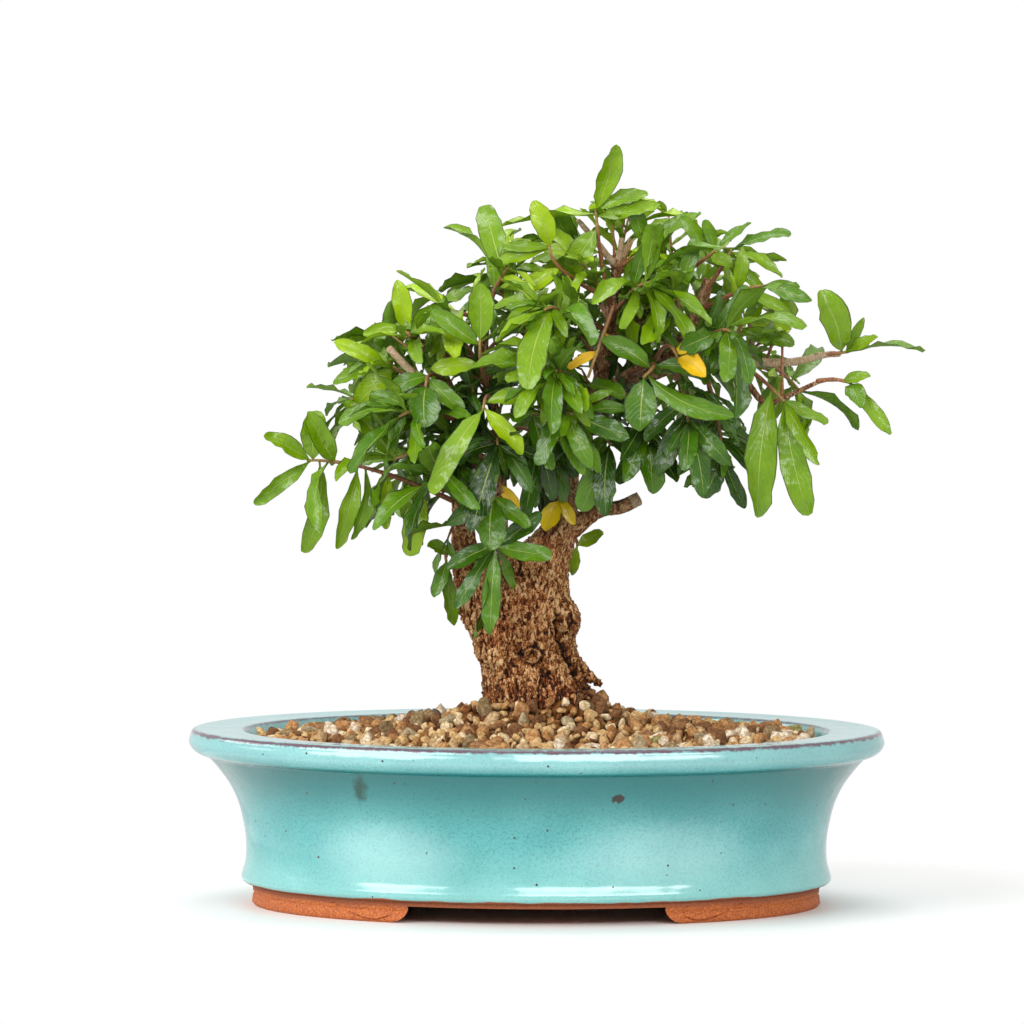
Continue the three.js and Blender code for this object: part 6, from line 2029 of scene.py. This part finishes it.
    def more_leaves(
        self, curve: Curve, length: float, draws: Draws, age: float | None
    ) -> tuple[list[Leaf], float]:
        """Leaves in opposite pairs along a stem, where there is room.

        Args:
            curve: the stem.
            length: its length.
            draws: where the random numbers come from.
            age: the age that all share, or None for one by place.

        Returns:
            The leaves that found room, and the share of the stem up to its last leaf.
        """
        found = []
        outermost = 0.0
        nodes = max(2, round(length / self.node_pitch))
        for node in range(nodes, 0, -1):
            t = min(node / nodes, self.last_leaf)
            around = node * 90 + draws.between(-25, 25)
            for half in (0, 180):
                size = draws.between(*self.extra_length) * (1 - 0.25 * (node == nodes))
                width = size * LEAF_SLENDER * draws.between(0.64, 1.08)
                away, phase = draws.between(38, 68), draws.next()
                root = self.stem_point(curve, t)
                stem = self.tangent(curve, t)
                facing = unit(root - CANOPY_CENTRE) * 0.9 + UP + np.array([0, -0.35, 0])
                for swing, lift, turn in RULE_TRIES:
                    direction = self.spread(stem, around + half + swing, away - lift)
                    leaf = leaf_between(root, root + direction * size, facing, width, turn, phase)
                    spots = leaf.spots()
                    if self.crowd.clashes(spots) > self.extra_clashes or not self.inside(leaf.tip):
                        continue
                    if self.hides_wood(spots):
                        continue
                    self.crowd.add(spots)
                    found.append(self.aged(leaf, age, draws))
                    outermost = max(outermost, t)
                    break
        return found, outermost

    def stem_rows(self, curve: Curve, last: float = 1.0) -> tuple[Array, Array]:
        """The route and radii of a stem up to a share of it, a little swollen where leaves leave it."""
        shares = np.linspace(0, last, 13)
        rows = np.array([curve(t) for t in shares])
        thin = self.twig_radius[0] + (self.twig_radius[1] - self.twig_radius[0]) * shares
        return rows, thin * (1 + 0.1 * np.sin(shares * 19))

    def build_shoots(self) -> None:
        """Builds one piece for each packed shoot."""
        grown = {name: self.solid_leaves(name, index + 1) for index, name in enumerate(SHOOTS)}
        for leaf in (leaf for leaves in grown.values() for leaf in leaves):
            self.crowd.add(leaf.spots())
        for index, (name, shoot) in enumerate(SHOOTS.items()):
            draws = Draws(500 + index)
            curve = self.curve(shoot)
            mesh = FoliageMesh()
            mesh.add_rod(*self.stem_rows(curve))
            own = [self.aged(leaf, shoot.age, draws) for leaf in grown[name]]
            log.info("%s: %d of %d leaves of the solid", name, len(own), len(shoot.leaves) + 2 * shoot.pairs)
            if shoot.pairs or (shoot.age > self.filled_age and shoot.route[2][2] > 155):
                length = float(np.linalg.norm(curve(1.0) - curve(0.0)))
                own += self.more_leaves(curve, length, draws, shoot.age)[0]
            for leaf in own:
                mesh.add_leaf(leaf)
            finish = {"yellow_leaves": YELLOW_LEAF, "yellowing_leaf": TURNING_LEAF}.get(name, LEAF)
            mesh.dress(f"spray_{name}", finish, f"shoot_{name}")

    def sprig_curve(self, root: Array, draws: Draws) -> tuple[Curve, float]:
        """A short stem that grows out and up from a limb.

        Args:
            root: where it starts.
            draws: where the random numbers come from.

        Returns:
            The stem's curve and its length.
        """
        stray = np.array([draws.between(-1, 1), draws.between(-1, 1), draws.between(-0.7, 1)])
        outward = unit((root - CANOPY_CENTRE) / CANOPY_HALF + np.array([0, 0, 0.15]))
        direction = unit(outward * 0.9 + stray * 0.95 + UP * 0.25)
        length = draws.between(*self.sprig_length)
        bend = unit(direction + UP * draws.between(-0.5, 0.2))
        middle, end = root + direction * length * 0.5, root + (direction + bend) * length * 0.5
        return (lambda t: (1 - t) ** 2 * root + 2 * t * (1 - t) * middle + t * t * end), length

    def build_sprigs(self) -> None:
        """Builds one piece of small sprigs for each leafy limb."""
        for index, (limb, first, last, count) in enumerate(self.sprig_limbs):
            rows = self.trunk.limb_rows(limb)[:, :3]
            draws = Draws(900 + index)
            mesh = FoliageMesh()
            leaves = 0
            for sprig in range(count):
                share = first + (last - first) * (sprig + draws.next() * 0.8) / count
                root = rows[min(round(share * (len(rows) - 1)), len(rows) - 1)]
                curve, length = self.sprig_curve(root, draws)
                if not self.inside(curve(1.0)):
                    continue
                own, reached = self.more_leaves(curve, length, draws, None)
                if len(own) < 2:
                    continue
                route, radii = self.stem_rows(curve, reached)
                mesh.add_rod(route, self.sprig_thin * radii)
                leaves += len(own)
                for leaf in own:
                    mesh.add_leaf(leaf)
            log.info("sprigs on %s: %d leaves", limb, leaves)
            if leaves:
                mesh.dress(f"sprigs_{limb}", LEAF)

    def build_front_stems(self, name: str, stems: Sequence, age: float, finish: Finish) -> None:
        """Builds thin stems in front of the crown with the leaves set on them.

        Args:
            name: the piece's name.
            stems: for each stem its route and its leaves.
            age: the age that its leaves share.
            finish: what the leaves are made of.
        """
        mesh, draws = FoliageMesh(), Draws(77)
        for route, tips in stems:
            curve = self.curve(Shoot(route, 0.0))
            mesh.add_rod(*self.stem_rows(curve))
            for tip_x, tip_z, width in tips:
                root = self.stem_point(curve, draws.between(0.72, self.last_leaf))
                leaf = leaf_between(
                    root, place((tip_x, root[1] - 2, tip_z)), FRONT, width, 0.0, draws.next()
                )
                self.crowd.add(leaf.spots())
                mesh.add_leaf(self.aged(leaf, age, draws))
        mesh.dress(name, finish)

    def build(self) -> None:
        """Builds all the foliage."""
        for name in LIMBS:
            self.crowd.add(self.trunk.limb_rows(name)[:, :3])
        self.build_shoots()
        self.build_front_stems("front_stems", self.front_stems, self.front_age, YELLOW_LEAF)
        self.build_front_stems("fill_stems", self.fill_stems, self.fill_age, LEAF)
        self.build_sprigs()


# ---------------------------------------------------- studio


@dataclass(frozen=True)
class SoftBox:
    """A softbox: where it hangs, what it looks at, its width, height and power, in metres and watts."""

    name: str
    place: Spot
    target: Spot
    size: Pair
    power: float

    def build(self) -> None:
        """Hangs the light."""
        lamp = bpy.data.lights.new(self.name, "AREA")
        lamp.shape = "ELLIPSE"
        lamp.size, lamp.size_y = self.size
        lamp.energy = self.power
        holder = bpy.data.objects.new(self.name, lamp)
        holder.location = self.place
        holder.rotation_euler = (
            Vector(self.target) - Vector(self.place)
        ).to_track_quat("-Z", "Y").to_euler()
        bpy.context.scene.collection.objects.link(holder)


@dataclass
class Studio:
    """A round pale board under the pot, soft light and the camera."""

    focal_pixels: float = 8046.6
    frame_pixels: int = 1024
    middle_column: float = 537.5
    horizon_row: float = 93.5
    eye_distance: float = 3000.0
    eye_height: float = 302.7
    board_radius: float = 250.0
    board_middle: float = -36.0  # how far in front of the pot's middle
    sky_strength: float = 0.5  # of the light that falls on the tree
    shine_share: float = 0.7  # how much of the white wall the glaze and the leaves mirror
    wall_strength: float = 1.0  # of the white wall in sight
    roll: float = 0.2  # degrees that the camera leans
    lights: tuple[SoftBox, ...] = (
        SoftBox("key_softbox", (-1.15, -0.98, 0.95), (0.0, 0.0, 0.12), (1.7, 0.8), 23.0),
        SoftBox("fill_softbox", (0.6, -1.45, 0.8), (0.0, 0.0, 0.12), (1.9, 0.42), 15.0),
        SoftBox("side_softbox", (-1.4, 0.35, 0.7), (0.0, 0.0, 0.1), (1.1, 0.5), 5.0),
        SoftBox("top_softbox", (0.1, 0.25, 1.3), (0.0, 0.0, 0.15), (0.8, 0.8), 7.0),
    )

    def board(self) -> None:
        """The round board that the pot stands on."""
        angles = np.linspace(0, 2 * math.pi, 128, endpoint=False)
        points = self.board_radius * np.stack([np.cos(angles), np.sin(angles), 0 * angles], axis=1)
        points[:, 1] += self.board_middle
        piece = mesh_object("studio_board", points, [tuple(range(len(points)))])
        piece.data.materials.append(BOARD.material())

    def sky(self) -> None:
        """The even pale light of the room and its white wall."""
        world = bpy.data.worlds.new("studio")
        world.use_nodes = True
        world.node_tree.nodes.clear()
        add = partial(add_node, world.node_tree)
        seen = add("LightPath", out="Is Camera Ray")
        mirrored = seen.node.outputs["Is Glossy Ray"]
        share = add("Math MULTIPLY_ADD", [mirrored, self.shine_share, seen])
        strength = add("Mix", {0: share, 2: self.sky_strength, 3: self.wall_strength}, data_type="FLOAT")
        glow = add("Background", {"Color": "#FFFFFF", "Strength": strength})
        add("OutputWorld", {"Surface": glow})
        bpy.context.scene.world = world

    def camera(self) -> None:
        """A long lens in front of the tree, a little above it, that looks slightly down."""
        middle = self.frame_pixels / 2
        per_pixel = self.eye_distance / self.focal_pixels
        data = bpy.data.cameras.new("camera")
        data.sensor_width = 36.0
        data.lens = self.focal_pixels / self.frame_pixels * data.sensor_width
        data.clip_end = 20.0
        holder = bpy.data.objects.new("camera", data)
        eye = np.array([(middle - self.middle_column) * per_pixel, -self.eye_distance, self.eye_height])
        holder.location = to_frame(eye)
        pitch = math.atan((middle - self.horizon_row) / self.focal_pixels)
        look = Matrix.Rotation(math.pi / 2 - pitch, 3, "X") @ Matrix.Rotation(
            math.radians(self.roll), 3, "Z"
        )
        holder.rotation_euler = look.to_euler()
        bpy.context.scene.collection.objects.link(holder)
        bpy.context.scene.camera = holder

    def build(self) -> None:
        """Sets the whole studio up."""
        self.camera()
        self.board()
        self.sky()
        for light in self.lights:
            light.build()
        bpy.context.scene.view_settings.view_transform = "Standard"


def main() -> None:
    """Builds the bonsai piece by piece and the studio round it."""
    logging.basicConfig(level=logging.INFO, format="%(message)s")
    Studio().build()
    OvalPot().build()
    DrainScreens().build()
    SoilBody().build()
    GravelTopping().build()
    trunk = Trunk()
    trunk.build()
    Canopy(trunk).build()


if __name__ == "__main__":
    main()
